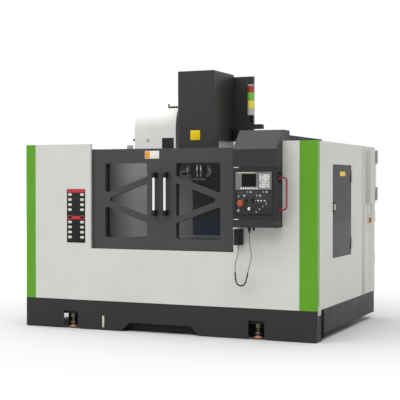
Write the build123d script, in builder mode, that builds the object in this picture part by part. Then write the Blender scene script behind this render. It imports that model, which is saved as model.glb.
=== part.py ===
from build123d import *
import os
from math import cos, pi, radians, sin, tan

# A vertical machining centre in a sheet-metal enclosure, in millimetres.
# +X is the operator's right, +Y the back and +Z up; the origin is on the floor under the middle.
# Depths are counted back from the plane of the front panels, and CENTRE_X is the spindle's plane.
WIDTH = 3200
FRONT_Y = -1058
CENTRE_X = -28
PANEL_TOP = 1905
SKIRT_TOP = 300
SHEET = 3
FOLD = 30
SEAM = 0.4
RUNNING = 0.05
SLIDING = 0.5

# Skirts
SKIRT_BOTTOM = 6
SKIRT_RETURN = 157
SKIRT_CORNER = 15
ACCESS_HOLE = 164
ACCESS_TOP = 182
ARCH_BOTTOM = 857
ARCH_TOP = 676
ARCH_HEIGHT = 92
ARCH_SHIFT = -4
GAUGE_LEFT = 288
GAUGE_LOW = 22
GAUGE_HIGH = 155
GAUGE_WIDTH = 22
SIDE_SKIRT_START = 238
SIDE_SKIRT_END = 2142
SIDE_SKIRT_BOTTOM = 64

# Enclosure panels
OPENING_WIDTH = 1580
SILL = 833
LEFT_POST = 120
RIGHT_POST = 169
POST_DEPTH = 90
POST_CORNER = 14
SIDE_END = 1844
SIDE_WINDOW_FRONT = 522
SIDE_WINDOW_BACK = 1197
SIDE_WINDOW_LOW = 766
SIDE_WINDOW_HIGH = 1690
SIDE_DOOR_THICK = 18
SIDE_DOOR_GAP = 4
KNUCKLE_RADIUS = 5.5
KNUCKLE_LENGTH = 60

# Front doors and their rails
DOOR_TOP = 1851
DOOR_OVERLAP = 20
DOOR_DROP = 18
DOOR_FRONT = 34
DOOR_THICK = 45
DOOR_MEET = 1
WINDOW_NEAR = 160
FAR_STILE = 152
WINDOW_LOW = 950
WINDOW_HIGH = 1706
WINDOW_CORNER = 22
STRUT_TIP_HEIGHT = 1337
STRUT_TIP_BAND = 128
STRUT_NEAR_RISE = 203
STRUT_BAND = 62
STRUT_APEX_INSET = 12
PANE_THICK = 5
PANE_LAP = 16
HANDLE_OFFSET = 61
HANDLE_RADIUS = 16
HANDLE_LOW = 1179
HANDLE_HIGH = 1612
HANDLE_BLOCK = 55
HANDLE_BLOCK_WIDTH = 37
HANDLE_REACH = 70
RAIL_FRONT = 84
RAIL_DEPTH = 40
RAIL_HEIGHT = 70
RUNNER_HEIGHT = 30
RUNNER_DEPTH = 12
RUNNER_LENGTH = 120
LOCK_BOX_SHIFT = -17
LOCK_BOX_WIDTH = 113
LOCK_BOX_HEIGHT = 107

# Console, operator unit and pendant
CONSOLE_MARGIN = 62
CONSOLE_WIDTH = 438
CONSOLE_REACH = 180
CONSOLE_BOTTOM = 1085
CONSOLE_LEDGE = 1159
CONSOLE_HEAD = 1653
CONSOLE_BROW = 1824
CONSOLE_TOP = 2011
CONSOLE_SLOPE_END = 10
CONSOLE_OVER = 207
CONSOLE_SPINE = 18
UNIT_GAP = 2
UNIT_SWING_GAP = 6
DISPLAY_LEFT = 34
DISPLAY_WIDTH = 362
DISPLAY_LOW = 1440
DISPLAY_HIGH = 1609
DISPLAY_THICK = 12
DISPLAY_SEAT = 6
SCREEN_LEFT = 95
SCREEN_WIDTH = 147
SCREEN_LOW = 1470
SCREEN_HIGH = 1591
KEY_PITCH = 22
KEY_SIZE = 15
KEY_HEIGHT = 3
STOP_LEFT = 85
STOP_HEIGHT = 1313
STOP_RADIUS = 29
START_LEFT = 65
START_HEIGHT = 1377
START_RADIUS = 14
DIAL_LEFT = 210
DIAL_HEIGHT = 1345
DIAL_RADIUS = 20
GRAB_LOW = 1254
GRAB_HIGH = 1556
GRAB_REACH = 76
GRAB_DEPTH = -100
GRAB_RADIUS = 8
GRAB_BEND = 30
PENDANT_SHIFT = 36
PENDANT_WIDTH = 80
PENDANT_BOTTOM = 908
PENDANT_HEIGHT = 152
PENDANT_THICK = 60
WHEEL_RADIUS = 31
WHEEL_HEIGHT = 952
HOLDER_TOP = 1074
HOLDER_REACH = 88
HOLDER_SHEET = 6

# Cord of the pendant: gland, thin tail, curly stretch, thin tail
CORD_RADIUS = 3.5
COIL_RADIUS = 8
GLAND_LEFT = 136
GLAND_DEPTH = -88
GLAND_LENGTH = 55

# Bed, feet and column
FOOT_HEIGHT = 150
FOOT_PAD = 45
BOLT_RADIUS = 12
FOOT_SPAN = 1026
FRONT_FOOT_DEPTH = 62
CENTRE_FOOT_SHIFT = 35
CENTRE_FOOT_DEPTH = 180
NICHE_DEPTH = 84
RIB_THICK = 25
RIB_CLEAR = 12
BED_HALF = 400
BED_SHOULDER = 437
BED_TOP = 560
BED_WAY_START = 440
BED_WAY_END = 1600
CROSSBAR_HALF = 1150
FRONT_CROSSBAR = 250
REAR_CROSSBAR = 1860
REAR_CROSSBAR_DEPTH = 230
COLUMN_SEAT = 640
COLUMN_FRONT = 1700
COLUMN_HALF = 330
COLUMN_DEPTH = 400
COLUMN_BEND = 1500
COLUMN_NECK = 2040
COLUMN_NECK_HALF = 285
COLUMN_NECK_DEPTH = 190
COLUMN_TOP = 2560
RAIL_WIDTH = 34
RAIL_RISE = 30
GUIDE_GAP = 6

# Axes: spindle place, strokes and screws
SPINDLE_DEPTH = 980
X_STROKE = 500
Y_STROKE = 280
Z_STROKE = 500
SCREW_RADIUS = 16
Y_RAIL_HALF = 300
Z_RAIL_HALF = 230
X_RAIL_HALF = 190
SADDLE_BOTTOM = 605
SADDLE_TOP = 770
SADDLE_HALF = 740
SADDLE_WAIST = 420
SADDLE_REACH = 260
TABLE_BOTTOM = 820
TABLE_TOP = 930
TABLE_HALF = 600
TABLE_REACH = 300
SLOT_WIDTH = 18
SLOT_FOOT = 30
SLOT_DEPTH = 36
SLOT_PITCH = 100
MOTOR_HALF = 55
MOTOR_LENGTH = 118

# Head and spindle
HEAD_HALF = 170
HEAD_FRONT = 881
HEAD_BOTTOM = 1700
HEAD_TOP = 2260
CARRIAGE_BOTTOM = 1600
CARRIAGE_HALF = 270
CARRIAGE_THICK = 40
NOSE_BOTTOM = 1560
NOSE_RADIUS = 95
SPINDLE_BOTTOM = 1540
SPINDLE_FLANGE = 64
SPINDLE_SHAFT = 50
SPINDLE_TOP = 1750
TAPER_MOUTH = 22.2
TAPER_END = 13
TAPER_DEPTH = 65
HEAD_COVER_HALF = 212
HEAD_COVER_FRONT = 873
HEAD_COVER_BACK = 1452
HEAD_COVER_TOP = 2708
HEAD_COVER_STEP = 1014
HEAD_COVER_SHOULDER = 1965
WAY_COVER_HALF = 351
WAY_COVER_ROOM = 55
UPPER_COVER_LOW = 1070
COVER_FOLDS = 6
LOWER_COVER_LOW = 756
LOWER_COVER_HIGH = 1090

# Covers above the roof line
COLUMN_COVER_HALF = 440
COVER_GAP = 6
COLUMN_COVER_FOLD = 40
COLUMN_COVER_TOP = 2685
COLUMN_SLOT_HALF = 200
BRACKET_LENGTH = 112
BRACKET_LOW = 2103
BRACKET_HIGH = 2156
TOWER_RADIUS = 37
TOWER_ROOM = 58
TOWER_BOTTOM = 2251
TOWER_BANDS = (2325, 2415, 2505, 2575, 2588)

# Tool magazine and changer
MAGAZINE_LEFT = -822
MAGAZINE_WAIST = -474
MAGAZINE_RIGHT = -320
MAGAZINE_NOTCH = 1450
MAGAZINE_CENTRE = 1350
MAGAZINE_HEIGHT = 2117
MAGAZINE_RADIUS = 350
MAGAZINE_BOTTOM = 1800
POT_COUNT = 24
POT_RADIUS = 30
POT_CIRCLE = 258
POT_LENGTH = 120
DRUM_PLATE = 20
DRUM_RIGHT = -482
HUB_RADIUS = 30
ARM_REACH = 270
ARM_THICK = 25
ARM_TOP = 1530
SLEEVE_RADIUS = 35
GEARBOX_BOTTOM = 1640

# Cabinet, cooler, duct and tank
CABINET_WIDTH = 740
CABINET_BACK = 2165
CABINET_DOOR_THICK = 24
CABINET_DOOR_GAP = 0.8
COOLER_WIDTH = 398
COOLER_INSET = 22
COOLER_LOW = 1283
COOLER_HIGH = 1880
COOLER_THICK = 140
SWITCH_DEPTH = 1920
SWITCH_HEIGHT = 1100
SWITCH_RADIUS = 30
DUCT_SHIFT = 136
DUCT_WIDTH = 100
DUCT_HEIGHT = 90
TANK_LEFT = -960
TANK_WIDTH = 500
TANK_END = 1480
TANK_HEIGHT = 145

# Chip pan and guards
PAN_FRONT = 100
PAN_RIM = 755
PAN_FLOOR = 440
PAN_KNEE = 640
PAN_FLAT_HALF = 455
GUARD_ROOM = 35
GUARD_TOP = 1968
GUARD_BOTTOM = 700
Y_COVER_FRONT = 420
Y_COVER_HALF = 410
Y_COVER_LOW = 612
Y_COVER_STEPS = 3
Y_COVER_RISE = 14

HALF = WIDTH / 2
OPENING_LEFT = CENTRE_X - OPENING_WIDTH / 2
OPENING_RIGHT = CENTRE_X + OPENING_WIDTH / 2
WINDOW_FAR = OPENING_WIDTH / 2 - FAR_STILE
CONSOLE_LEFT = OPENING_RIGHT + CONSOLE_MARGIN
PENDANT_LEFT = CONSOLE_LEFT - PENDANT_SHIFT
GLAND_X = CONSOLE_LEFT + GLAND_LEFT
DUCT_LEFT = CONSOLE_LEFT + DUCT_SHIFT
GAUGE_X = TANK_LEFT + GAUGE_LEFT
CABINET_LEFT = HALF - CABINET_WIDTH
COOLER_RIGHT = HALF - COOLER_INSET
COOLER_LEFT = COOLER_RIGHT - COOLER_WIDTH
Z_RAIL_FRONT = COLUMN_FRONT - 35
CARRIAGE_BACK = Z_RAIL_FRONT - 25
WAY_COVER_DEPTH = CARRIAGE_BACK - WAY_COVER_ROOM
GUARD_DEPTH = WAY_COVER_DEPTH + GUARD_ROOM
COLUMN_COVER_FRONT = HEAD_COVER_BACK + COVER_GAP
TOWER_DEPTH = COLUMN_COVER_FRONT - TOWER_ROOM
LOW_CORNER = (Align.MIN, Align.MIN, Align.MIN)
FROM_END = (Align.CENTER, Align.CENTER, Align.MIN)
TURNS = {"X": (0, 90, 0), "Y": (-90, 0, 0), "Z": (0, 0, 0)}


def back(depth):
    """The y of a plane this far behind the front panels."""
    return FRONT_Y + depth


def front_view(y):
    """A vertical sketch plane at y, drawn in X and Z; a negative extrusion runs to the back."""
    return Plane((0, y, 0), x_dir=(1, 0, 0), z_dir=(0, -1, 0))


def block(x, y, z, mode=Mode.ADD):
    """A box between a low and a high value along each axis."""
    with Locations((x[0], y[0], z[0])):
        Box(x[1] - x[0], y[1] - y[0], z[1] - z[0], align=LOW_CORNER, mode=mode)


def rod(start, radius, length, along, mode=Mode.ADD):
    """A round bar from its start point towards +X, +Y or +Z."""
    with Locations(Location(start, TURNS[along])):
        Cylinder(radius, length, align=FROM_END, mode=mode)


def tray(x, y, z, open_axis, open_high):
    """A folded sheet tray: a box emptied from one side, with walls one sheet thick."""
    block(x, y, z)
    inside = [[low + SHEET, high - SHEET] for low, high in (x, y, z)]
    inside[open_axis][open_high] = (x, y, z)[open_axis][open_high]
    block(*inside, mode=Mode.SUBTRACT)


def about(middle, half):
    """The low and high value of a span about its middle."""
    return (middle - half, middle + half)


# Enclosure: skirts, panels and corner posts
with BuildPart() as front_skirt:
    with BuildSketch(Plane.XY.offset(SKIRT_BOTTOM)):
        with Locations((0, back(SKIRT_RETURN))):
            RectangleRounded(WIDTH, 2 * SKIRT_RETURN, SKIRT_CORNER)
            inner_size = (WIDTH - 2 * SHEET, 2 * (SKIRT_RETURN - SHEET))
            RectangleRounded(*inner_size, SKIRT_CORNER - SHEET, mode=Mode.SUBTRACT)
        with Locations((0, back(1.5 * SKIRT_RETURN))):
            Rectangle(WIDTH, SKIRT_RETURN, mode=Mode.SUBTRACT)
    extrude(amount=SKIRT_TOP - SKIRT_BOTTOM)
    for side in (-1, 1):
        hole_x = about(CENTRE_X + side * FOOT_SPAN, ACCESS_HOLE / 2)
        block(hole_x, (back(-1), back(SHEET + 1)), (ACCESS_TOP - ACCESS_HOLE, ACCESS_TOP), Mode.SUBTRACT)
    with BuildSketch(front_view(back(-1))):
        arch_x = CENTRE_X + ARCH_SHIFT
        Polygon(
            (arch_x - ARCH_BOTTOM / 2, SKIRT_BOTTOM - 1),
            (arch_x + ARCH_BOTTOM / 2, SKIRT_BOTTOM - 1),
            (arch_x + ARCH_TOP / 2, ARCH_HEIGHT),
            (arch_x - ARCH_TOP / 2, ARCH_HEIGHT),
            align=None,
        )
        with Locations((GAUGE_X, (GAUGE_LOW + GAUGE_HIGH) / 2)):
            SlotOverall(GAUGE_HIGH - GAUGE_LOW, GAUGE_WIDTH, rotation=90)
    extrude(amount=-(SHEET + 2), mode=Mode.SUBTRACT)

with BuildPart() as side_skirts:
    for side in (-1, 1):
        skirt_x = sorted((side * HALF, side * (HALF - FOLD)))
        skirt_y = (back(SIDE_SKIRT_START), back(SIDE_SKIRT_END))
        tray(skirt_x, skirt_y, (SIDE_SKIRT_BOTTOM, SKIRT_TOP), 0, side < 0)

PANEL_Z = (SKIRT_TOP + SEAM, PANEL_TOP)
PANEL_Y = (back(0), back(FOLD))

with BuildPart() as left_front_panel:
    tray((LEFT_POST - HALF + SEAM, OPENING_LEFT), PANEL_Y, PANEL_Z, 1, True)

with BuildPart() as right_front_panel:
    tray((OPENING_RIGHT, HALF - RIGHT_POST - SEAM), PANEL_Y, PANEL_Z, 1, True)

with BuildPart() as lower_front_panel:
    lower_x = (OPENING_LEFT + SEAM, OPENING_RIGHT - SEAM)
    tray(lower_x, PANEL_Y, (SKIRT_TOP + SEAM, SILL), 1, True)

with BuildPart() as corner_posts:
    with BuildSketch(Plane.XY.offset(SKIRT_TOP + SEAM)):
        for side, width in ((-1, LEFT_POST), (1, RIGHT_POST)):
            edge = side * (HALF - width)
            with Locations((edge, back(POST_DEPTH))):
                RectangleRounded(2 * width, 2 * POST_DEPTH, POST_CORNER)
                inner_size = (2 * (width - SHEET), 2 * (POST_DEPTH - SHEET))
                RectangleRounded(*inner_size, POST_CORNER - SHEET, mode=Mode.SUBTRACT)
            with Locations((edge - side * width / 2, back(POST_DEPTH))):
                Rectangle(width, 2 * POST_DEPTH, mode=Mode.SUBTRACT)
            with Locations((edge, back(1.5 * POST_DEPTH))):
                Rectangle(2 * width, POST_DEPTH, mode=Mode.SUBTRACT)
            with Locations((edge + side * SHEET / 2, back(FOLD / 2))):
                Rectangle(SHEET, FOLD)
    extrude(amount=PANEL_TOP - SKIRT_TOP - SEAM)

HINGE_X = HALF + KNUCKLE_RADIUS + SLIDING
HINGE_DEPTH = SIDE_WINDOW_BACK + 8
SIDE_WINDOW_MIDDLE = (SIDE_WINDOW_LOW + SIDE_WINDOW_HIGH) / 2
HINGE_RISE = (SIDE_WINDOW_HIGH - SIDE_WINDOW_LOW) / 2 - 120

with BuildPart() as left_side_panel:
    tray((-HALF, FOLD - HALF), (back(POST_DEPTH + SEAM), back(SIDE_END)), PANEL_Z, 0, True)

with BuildPart() as right_side_panel:
    tray((HALF - FOLD, HALF), (back(POST_DEPTH + SEAM), back(SIDE_END)), PANEL_Z, 0, False)
    window_y = (back(SIDE_WINDOW_FRONT), back(SIDE_WINDOW_BACK))
    window_z = (SIDE_WINDOW_LOW, SIDE_WINDOW_HIGH)
    block(
        (HALF - FOLD, HALF),
        (window_y[0] - SHEET, window_y[1] + SHEET),
        (window_z[0] - SHEET, window_z[1] + SHEET),
    )
    block((HALF - FOLD, HALF), window_y, window_z, Mode.SUBTRACT)
    for side in (-1, 1):
        knuckle_low = SIDE_WINDOW_MIDDLE + side * HINGE_RISE
        rod((HINGE_X, back(HINGE_DEPTH), knuckle_low), KNUCKLE_RADIUS, KNUCKLE_LENGTH, "Z")
        leaf_y = (back(HINGE_DEPTH), back(HINGE_DEPTH + 22))
        block((HALF, HALF + 2), leaf_y, (knuckle_low, knuckle_low + KNUCKLE_LENGTH))

# Side window door with its hinge knuckles and pull
with BuildPart() as side_door:
    pane_y = (back(SIDE_WINDOW_FRONT + SIDE_DOOR_GAP), back(SIDE_WINDOW_BACK - SIDE_DOOR_GAP))
    pane_z = (SIDE_WINDOW_LOW + SIDE_DOOR_GAP, SIDE_WINDOW_HIGH - SIDE_DOOR_GAP)
    block((HALF - 1 - SIDE_DOOR_THICK, HALF - 1), pane_y, pane_z)
    for side in (-1, 1):
        knuckle_low = SIDE_WINDOW_MIDDLE + side * HINGE_RISE - KNUCKLE_LENGTH - SEAM
        rod((HINGE_X, back(HINGE_DEPTH), knuckle_low), KNUCKLE_RADIUS, KNUCKLE_LENGTH, "Z")
        leaf_z = (knuckle_low, knuckle_low + KNUCKLE_LENGTH)
        block((HALF - 1, HALF + 2), (pane_y[1] - 20, pane_y[1]), leaf_z)
        block((HALF + SEAM, HINGE_X), (pane_y[1] - 20, back(HINGE_DEPTH)), leaf_z)
    pull_z = about(SIDE_WINDOW_MIDDLE + 40, 48)
    block((HALF - 1, HALF + 14), (pane_y[0] + 30, pane_y[0] + 52), pull_z)

# Door rails: the upper beam has a groove for the runners, the lower one guides the doors' feet
RAIL_TOP = DOOR_TOP - 1
RUNNER_Z = about(RAIL_TOP - RAIL_HEIGHT / 2, RUNNER_HEIGHT / 2)
PAN_LIP = PAN_RIM - SHEET
DOOR_BOTTOM = SILL - DOOR_DROP

with BuildPart() as door_rails:
    rail_x = about(0, HALF - FOLD - SEAM)
    block(rail_x, (back(RAIL_FRONT), back(RAIL_FRONT + RAIL_DEPTH)), (RAIL_TOP - RAIL_HEIGHT, RAIL_TOP))
    groove_y = (back(RAIL_FRONT), back(RAIL_FRONT + RUNNER_DEPTH))
    block(rail_x, groove_y, RUNNER_Z, Mode.SUBTRACT)
    foot_y = (back(FOLD + SEAM), back(PAN_FRONT - SEAM))
    block(rail_x, foot_y, (PAN_RIM + SEAM, DOOR_BOTTOM - 4))

with BuildPart() as interlock_switch:
    box_y = (back(RAIL_FRONT), back(RAIL_FRONT + RAIL_DEPTH))
    box_z = (RAIL_TOP + SEAM, RAIL_TOP + SEAM + LOCK_BOX_HEIGHT)
    box_left = CENTRE_X + LOCK_BOX_SHIFT
    block((box_left, box_left + LOCK_BOX_WIDTH), box_y, box_z)
    slot_y = (back(RAIL_FRONT - 1), back(RAIL_FRONT + 4))
    for place in (1, 2, 3):
        slot_x = box_left + place * LOCK_BOX_WIDTH / 4
        block(about(slot_x, 5), slot_y, about(box_z[1] - 24, 9), Mode.SUBTRACT)


def window_outlines(side):
    """The three openings of a door, above, between and below its two struts."""
    near = CENTRE_X + side * WINDOW_NEAR
    far = CENTRE_X + side * WINDOW_FAR
    tip = STRUT_TIP_HEIGHT
    half_tip = STRUT_TIP_BAND / 2
    rise = STRUT_NEAR_RISE
    half_band = STRUT_BAND / 2
    above = ((far, tip + half_tip), (near, tip + rise + half_band), (near, WINDOW_HIGH), (far, WINDOW_HIGH))
    apex = (far - side * STRUT_APEX_INSET, tip)
    between = (apex, (near, tip - rise + half_band), (near, tip + rise - half_band))
    below = ((far, tip - half_tip), (far, WINDOW_LOW), (near, WINDOW_LOW), (near, tip - rise - half_band))
    return above, between, below


def door_frame(side):
    """A sliding door: a box-section frame with three panes' openings, runners and no pane."""
    near = CENTRE_X + side * DOOR_MEET / 2
    far = CENTRE_X + side * (OPENING_WIDTH / 2 + DOOR_OVERLAP)
    door_y = (back(DOOR_FRONT), back(DOOR_FRONT + DOOR_THICK))
    block(sorted((near, far)), door_y, (DOOR_BOTTOM, DOOR_TOP))
    with BuildSketch(front_view(back(DOOR_FRONT))) as holes:
        for outline in window_outlines(side):
            Polygon(*outline, align=None)
        fillet(holes.vertices(), radius=WINDOW_CORNER)
    extrude(holes.sketch, amount=-DOOR_THICK, mode=Mode.SUBTRACT)
    for place in (0.2, 0.8):
        runner_x = about(near + place * (far - near), RUNNER_LENGTH / 2)
        runner_y = (door_y[1], back(RAIL_FRONT + RUNNER_DEPTH - SLIDING))
        block(runner_x, runner_y, (RUNNER_Z[0] + SLIDING, RUNNER_Z[1] - SLIDING))


def door_pane(side):
    """The clear pane behind a door's openings."""
    near = CENTRE_X + side * (WINDOW_NEAR - PANE_LAP)
    far = CENTRE_X + side * (WINDOW_FAR + PANE_LAP)
    pane_depth = DOOR_FRONT + DOOR_THICK + SEAM
    block(
        sorted((near, far)),
        (back(pane_depth), back(pane_depth + PANE_THICK - 2 * SEAM)),
        (WINDOW_LOW - PANE_LAP, WINDOW_HIGH + PANE_LAP),
    )


def door_handle(side):
    """A round pull bar between two blocks on the door's face."""
    bar_x = CENTRE_X + side * HANDLE_OFFSET
    block_y = (back(DOOR_FRONT - HANDLE_REACH), back(DOOR_FRONT))
    for low in (HANDLE_LOW, HANDLE_HIGH - HANDLE_BLOCK):
        block(about(bar_x, HANDLE_BLOCK_WIDTH / 2), block_y, (low, low + HANDLE_BLOCK))
    bar_start = (bar_x, block_y[0] + HANDLE_RADIUS + 4, HANDLE_LOW + HANDLE_BLOCK)
    rod(bar_start, HANDLE_RADIUS, HANDLE_HIGH - HANDLE_LOW - 2 * HANDLE_BLOCK, "Z")


with BuildPart() as left_door:
    door_frame(-1)

with BuildPart() as right_door:
    door_frame(1)

with BuildPart() as left_window:
    door_pane(-1)

with BuildPart() as right_window:
    door_pane(1)

with BuildPart() as left_handle:
    door_handle(-1)

with BuildPart() as right_handle:
    door_handle(1)

# Console: a bent housing with a sloped top that reaches over the panel, open at its middle
CONSOLE_RIGHT = CONSOLE_LEFT + CONSOLE_WIDTH
CONSOLE_Y = back(-CONSOLE_REACH)

with BuildPart() as console_housing:
    with BuildSketch(Plane.YZ.offset(CONSOLE_LEFT)):
        with BuildLine():
            Polyline(
                (back(-SEAM), CONSOLE_BOTTOM),
                (CONSOLE_Y, CONSOLE_BOTTOM),
                (CONSOLE_Y, CONSOLE_LEDGE),
                (back(-CONSOLE_SPINE), CONSOLE_LEDGE),
                (back(-CONSOLE_SPINE), CONSOLE_HEAD),
                (CONSOLE_Y, CONSOLE_HEAD),
                (CONSOLE_Y, CONSOLE_BROW),
                (back(CONSOLE_SLOPE_END), CONSOLE_TOP),
                (back(CONSOLE_OVER), CONSOLE_TOP),
                (back(CONSOLE_OVER), PANEL_TOP + SEAM),
                (back(-SEAM), PANEL_TOP + SEAM),
                close=True,
            )
        make_face()
    extrude(amount=CONSOLE_WIDTH)
    for low in (CONSOLE_LEDGE, CONSOLE_HEAD - UNIT_GAP + SEAM):
        rod((CONSOLE_LEFT + 20, CONSOLE_Y + 20, low), 9, UNIT_GAP - SEAM, "Z")

# Operator unit: swings about the two pins at its left front edge
UNIT_LEFT = CONSOLE_LEFT + UNIT_GAP
UNIT_BACK = back(-CONSOLE_SPINE - UNIT_SWING_GAP)
UNIT_Z = (CONSOLE_LEDGE + UNIT_GAP, CONSOLE_HEAD - UNIT_GAP)
PANEL_LEFT = CONSOLE_LEFT + DISPLAY_LEFT
PANEL_SPAN = (PANEL_LEFT, PANEL_LEFT + DISPLAY_WIDTH)
DIAL_X = CONSOLE_LEFT + DIAL_LEFT
STOP_X = CONSOLE_LEFT + STOP_LEFT
START_X = CONSOLE_LEFT + START_LEFT
BUTTON_BORE = 30


def key_field(x, z, columns, rows, front):
    """A field of square keys that stand out of a panel's face."""
    pitch_x = (x[1] - x[0] - KEY_SIZE) / (columns - 1)
    pitch_z = (z[1] - z[0] - KEY_SIZE) / (rows - 1)
    for column in range(columns):
        for row in range(rows):
            key_x = x[0] + column * pitch_x
            key_z = z[0] + row * pitch_z
            block((key_x, key_x + KEY_SIZE), (front - KEY_HEIGHT, front), (key_z, key_z + KEY_SIZE))


with BuildPart() as operator_unit:
    block((UNIT_LEFT, CONSOLE_RIGHT), (CONSOLE_Y, UNIT_BACK), UNIT_Z)
    seat_y = (CONSOLE_Y - 1, CONSOLE_Y + DISPLAY_SEAT)
    seat_x = (PANEL_SPAN[0] - SEAM, PANEL_SPAN[1] + SEAM)
    block(seat_x, seat_y, (DISPLAY_LOW - SEAM, DISPLAY_HIGH + SEAM), Mode.SUBTRACT)
    rod((STOP_X, CONSOLE_Y - 1, STOP_HEIGHT), 11 + SLIDING, BUTTON_BORE + 1, "Y", Mode.SUBTRACT)
    rod((START_X, CONSOLE_Y - 1, START_HEIGHT), START_RADIUS + SLIDING, BUTTON_BORE + 1, "Y", Mode.SUBTRACT)
    key_field((PANEL_LEFT + 80, PANEL_LEFT + 350), (1378, 1428), 9, 2, CONSOLE_Y)
    key_field((PANEL_LEFT + 200, PANEL_LEFT + 350), (1226, 1346), 5, 4, CONSOLE_Y)
    for knob_x, knob_z in ((PANEL_LEFT + 105, 1262), (PANEL_LEFT + 160, 1262), (PANEL_LEFT + 105, 1345)):
        rod((knob_x, CONSOLE_Y - 16, knob_z), 13, 16, "Y")

with BuildPart() as display_panel:
    face_y = CONSOLE_Y + DISPLAY_SEAT - SEAM - DISPLAY_THICK
    block(PANEL_SPAN, (face_y, face_y + DISPLAY_THICK), (DISPLAY_LOW, DISPLAY_HIGH))
    screen_x = (CONSOLE_LEFT + SCREEN_LEFT, CONSOLE_LEFT + SCREEN_LEFT + SCREEN_WIDTH)
    block(screen_x, (face_y, face_y + 4), (SCREEN_LOW, SCREEN_HIGH), Mode.SUBTRACT)
    soft_z = (DISPLAY_LOW + 6, DISPLAY_LOW + 6 + KEY_SIZE)
    for place in range(7):
        soft_x = screen_x[0] + place * KEY_PITCH
        block((soft_x, soft_x + KEY_SIZE), (face_y - KEY_HEIGHT, face_y), soft_z)
    key_field((screen_x[1] + 26, PANEL_SPAN[1] - 16), (DISPLAY_LOW + 12, DISPLAY_HIGH - 26), 5, 6, face_y)

with BuildPart() as estop_button:
    rod((STOP_X, CONSOLE_Y - 10, STOP_HEIGHT), 11, 30, "Y")
    rod((STOP_X, CONSOLE_Y - 24, STOP_HEIGHT), STOP_RADIUS, 14, "Y")
    with Locations(Location((STOP_X, CONSOLE_Y - 30, STOP_HEIGHT), TURNS["Y"])):
        Cone(STOP_RADIUS - 7, STOP_RADIUS, 6, align=FROM_END)

with BuildPart() as start_button:
    rod((START_X, CONSOLE_Y - 9, START_HEIGHT), START_RADIUS, 25, "Y")

with BuildPart() as override_knob:
    rod((DIAL_X, CONSOLE_Y - SEAM - 12, DIAL_HEIGHT), DIAL_RADIUS, 12, "Y")
    grip_y = (CONSOLE_Y - SEAM - 24, CONSOLE_Y - SEAM - 12)
    block(about(DIAL_X, 4), grip_y, about(DIAL_HEIGHT, DIAL_RADIUS - 2))

with BuildPart() as unit_handle:
    with BuildLine() as grab_path:
        grab_y = back(GRAB_DEPTH)
        foot_x = CONSOLE_RIGHT + SEAM
        FilletPolyline(
            (foot_x, grab_y, GRAB_HIGH),
            (foot_x + GRAB_REACH, grab_y, GRAB_HIGH),
            (foot_x + GRAB_REACH, grab_y, GRAB_LOW),
            (foot_x, grab_y, GRAB_LOW),
            radius=GRAB_BEND,
        )
    with BuildSketch(Plane((foot_x, grab_y, GRAB_HIGH), x_dir=(0, 1, 0), z_dir=(1, 0, 0))):
        Circle(GRAB_RADIUS)
    sweep(path=grab_path.wires()[0])
    for foot_z in (GRAB_LOW, GRAB_HIGH):
        block((foot_x, foot_x + 8), about(grab_y, 14), about(foot_z, 26))

# Pendant on its holder
HOLDER_Y = back(-SEAM)
PENDANT_Y = (HOLDER_Y - HOLDER_SHEET - SEAM - PENDANT_THICK, HOLDER_Y - HOLDER_SHEET - SEAM)
PENDANT_SPAN = (PENDANT_LEFT, PENDANT_LEFT + PENDANT_WIDTH)
PENDANT_MIDDLE = PENDANT_LEFT + PENDANT_WIDTH / 2

with BuildPart() as pendant_holder:
    block(PENDANT_SPAN, (HOLDER_Y - HOLDER_SHEET, HOLDER_Y), (PENDANT_BOTTOM + 52, HOLDER_TOP))
    block(PENDANT_SPAN, (back(-HOLDER_REACH), HOLDER_Y), (HOLDER_TOP - HOLDER_SHEET, HOLDER_TOP))

with BuildPart() as pendant_body:
    block(PENDANT_SPAN, PENDANT_Y, (PENDANT_BOTTOM, PENDANT_BOTTOM + PENDANT_HEIGHT))
    chamfer(pendant_body.edges().filter_by(Axis.Z).group_by(Axis.Y)[0], length=8)
    for side in (-1, 1):
        knob_x = PENDANT_MIDDLE + side * PENDANT_WIDTH / 4
        rod((knob_x, PENDANT_Y[0] - 12, PENDANT_BOTTOM + PENDANT_HEIGHT - 28), 10, 12, "Y")

with BuildPart() as handwheel:
    rod((PENDANT_MIDDLE, PENDANT_Y[0] - SEAM - 16, WHEEL_HEIGHT), WHEEL_RADIUS, 16, "Y")
    rod((PENDANT_MIDDLE + 19, PENDANT_Y[0] - SEAM - 34, WHEEL_HEIGHT), 6, 18, "Y")

with BuildPart() as cord_gland:
    gland_low = CONSOLE_BOTTOM - GLAND_LENGTH
    rod((GLAND_X, back(GLAND_DEPTH), CONSOLE_BOTTOM - 14), 17, 14, "Z")
    with BuildSketch(Plane.XY.offset(CONSOLE_BOTTOM - 34)):
        with Locations((GLAND_X, back(GLAND_DEPTH))):
            RegularPolygon(15, 6)
    extrude(amount=20)
    with Locations((GLAND_X, back(GLAND_DEPTH), gland_low)):
        Cone(7, 12, GLAND_LENGTH - 34, align=FROM_END)

# Cord routes, chosen by eye: each point is x, depth and z
UPPER_ROUTE = (
    (GLAND_X, GLAND_DEPTH, CONSOLE_BOTTOM - GLAND_LENGTH),
    (GLAND_X, -88, 972),
    (966, -87, 905),
    (979, -85, 840),
    (978, -84, 777),
    (957, -82, 715),
    (943, -80, 655),
)
COIL_ROUTE = (
    (943, -80, 655),
    (930.4, -78.2, 601),
    (916.4, -76.5, 548),
    (896, -75, 527.6),
    (868, -74, 520.1),
    (840, -73, 527.6),
    (819.6, -71.5, 548),
    (808, -69, 600),
    (806, -66, 655),
)
LOWER_ROUTE = (
    (806, -66, 655),
    (804, -63, 710),
    (811, -55, 762),
    (824, -45, 812),
    (828, -37, 858),
    (828, -37, PENDANT_BOTTOM),
)


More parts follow.
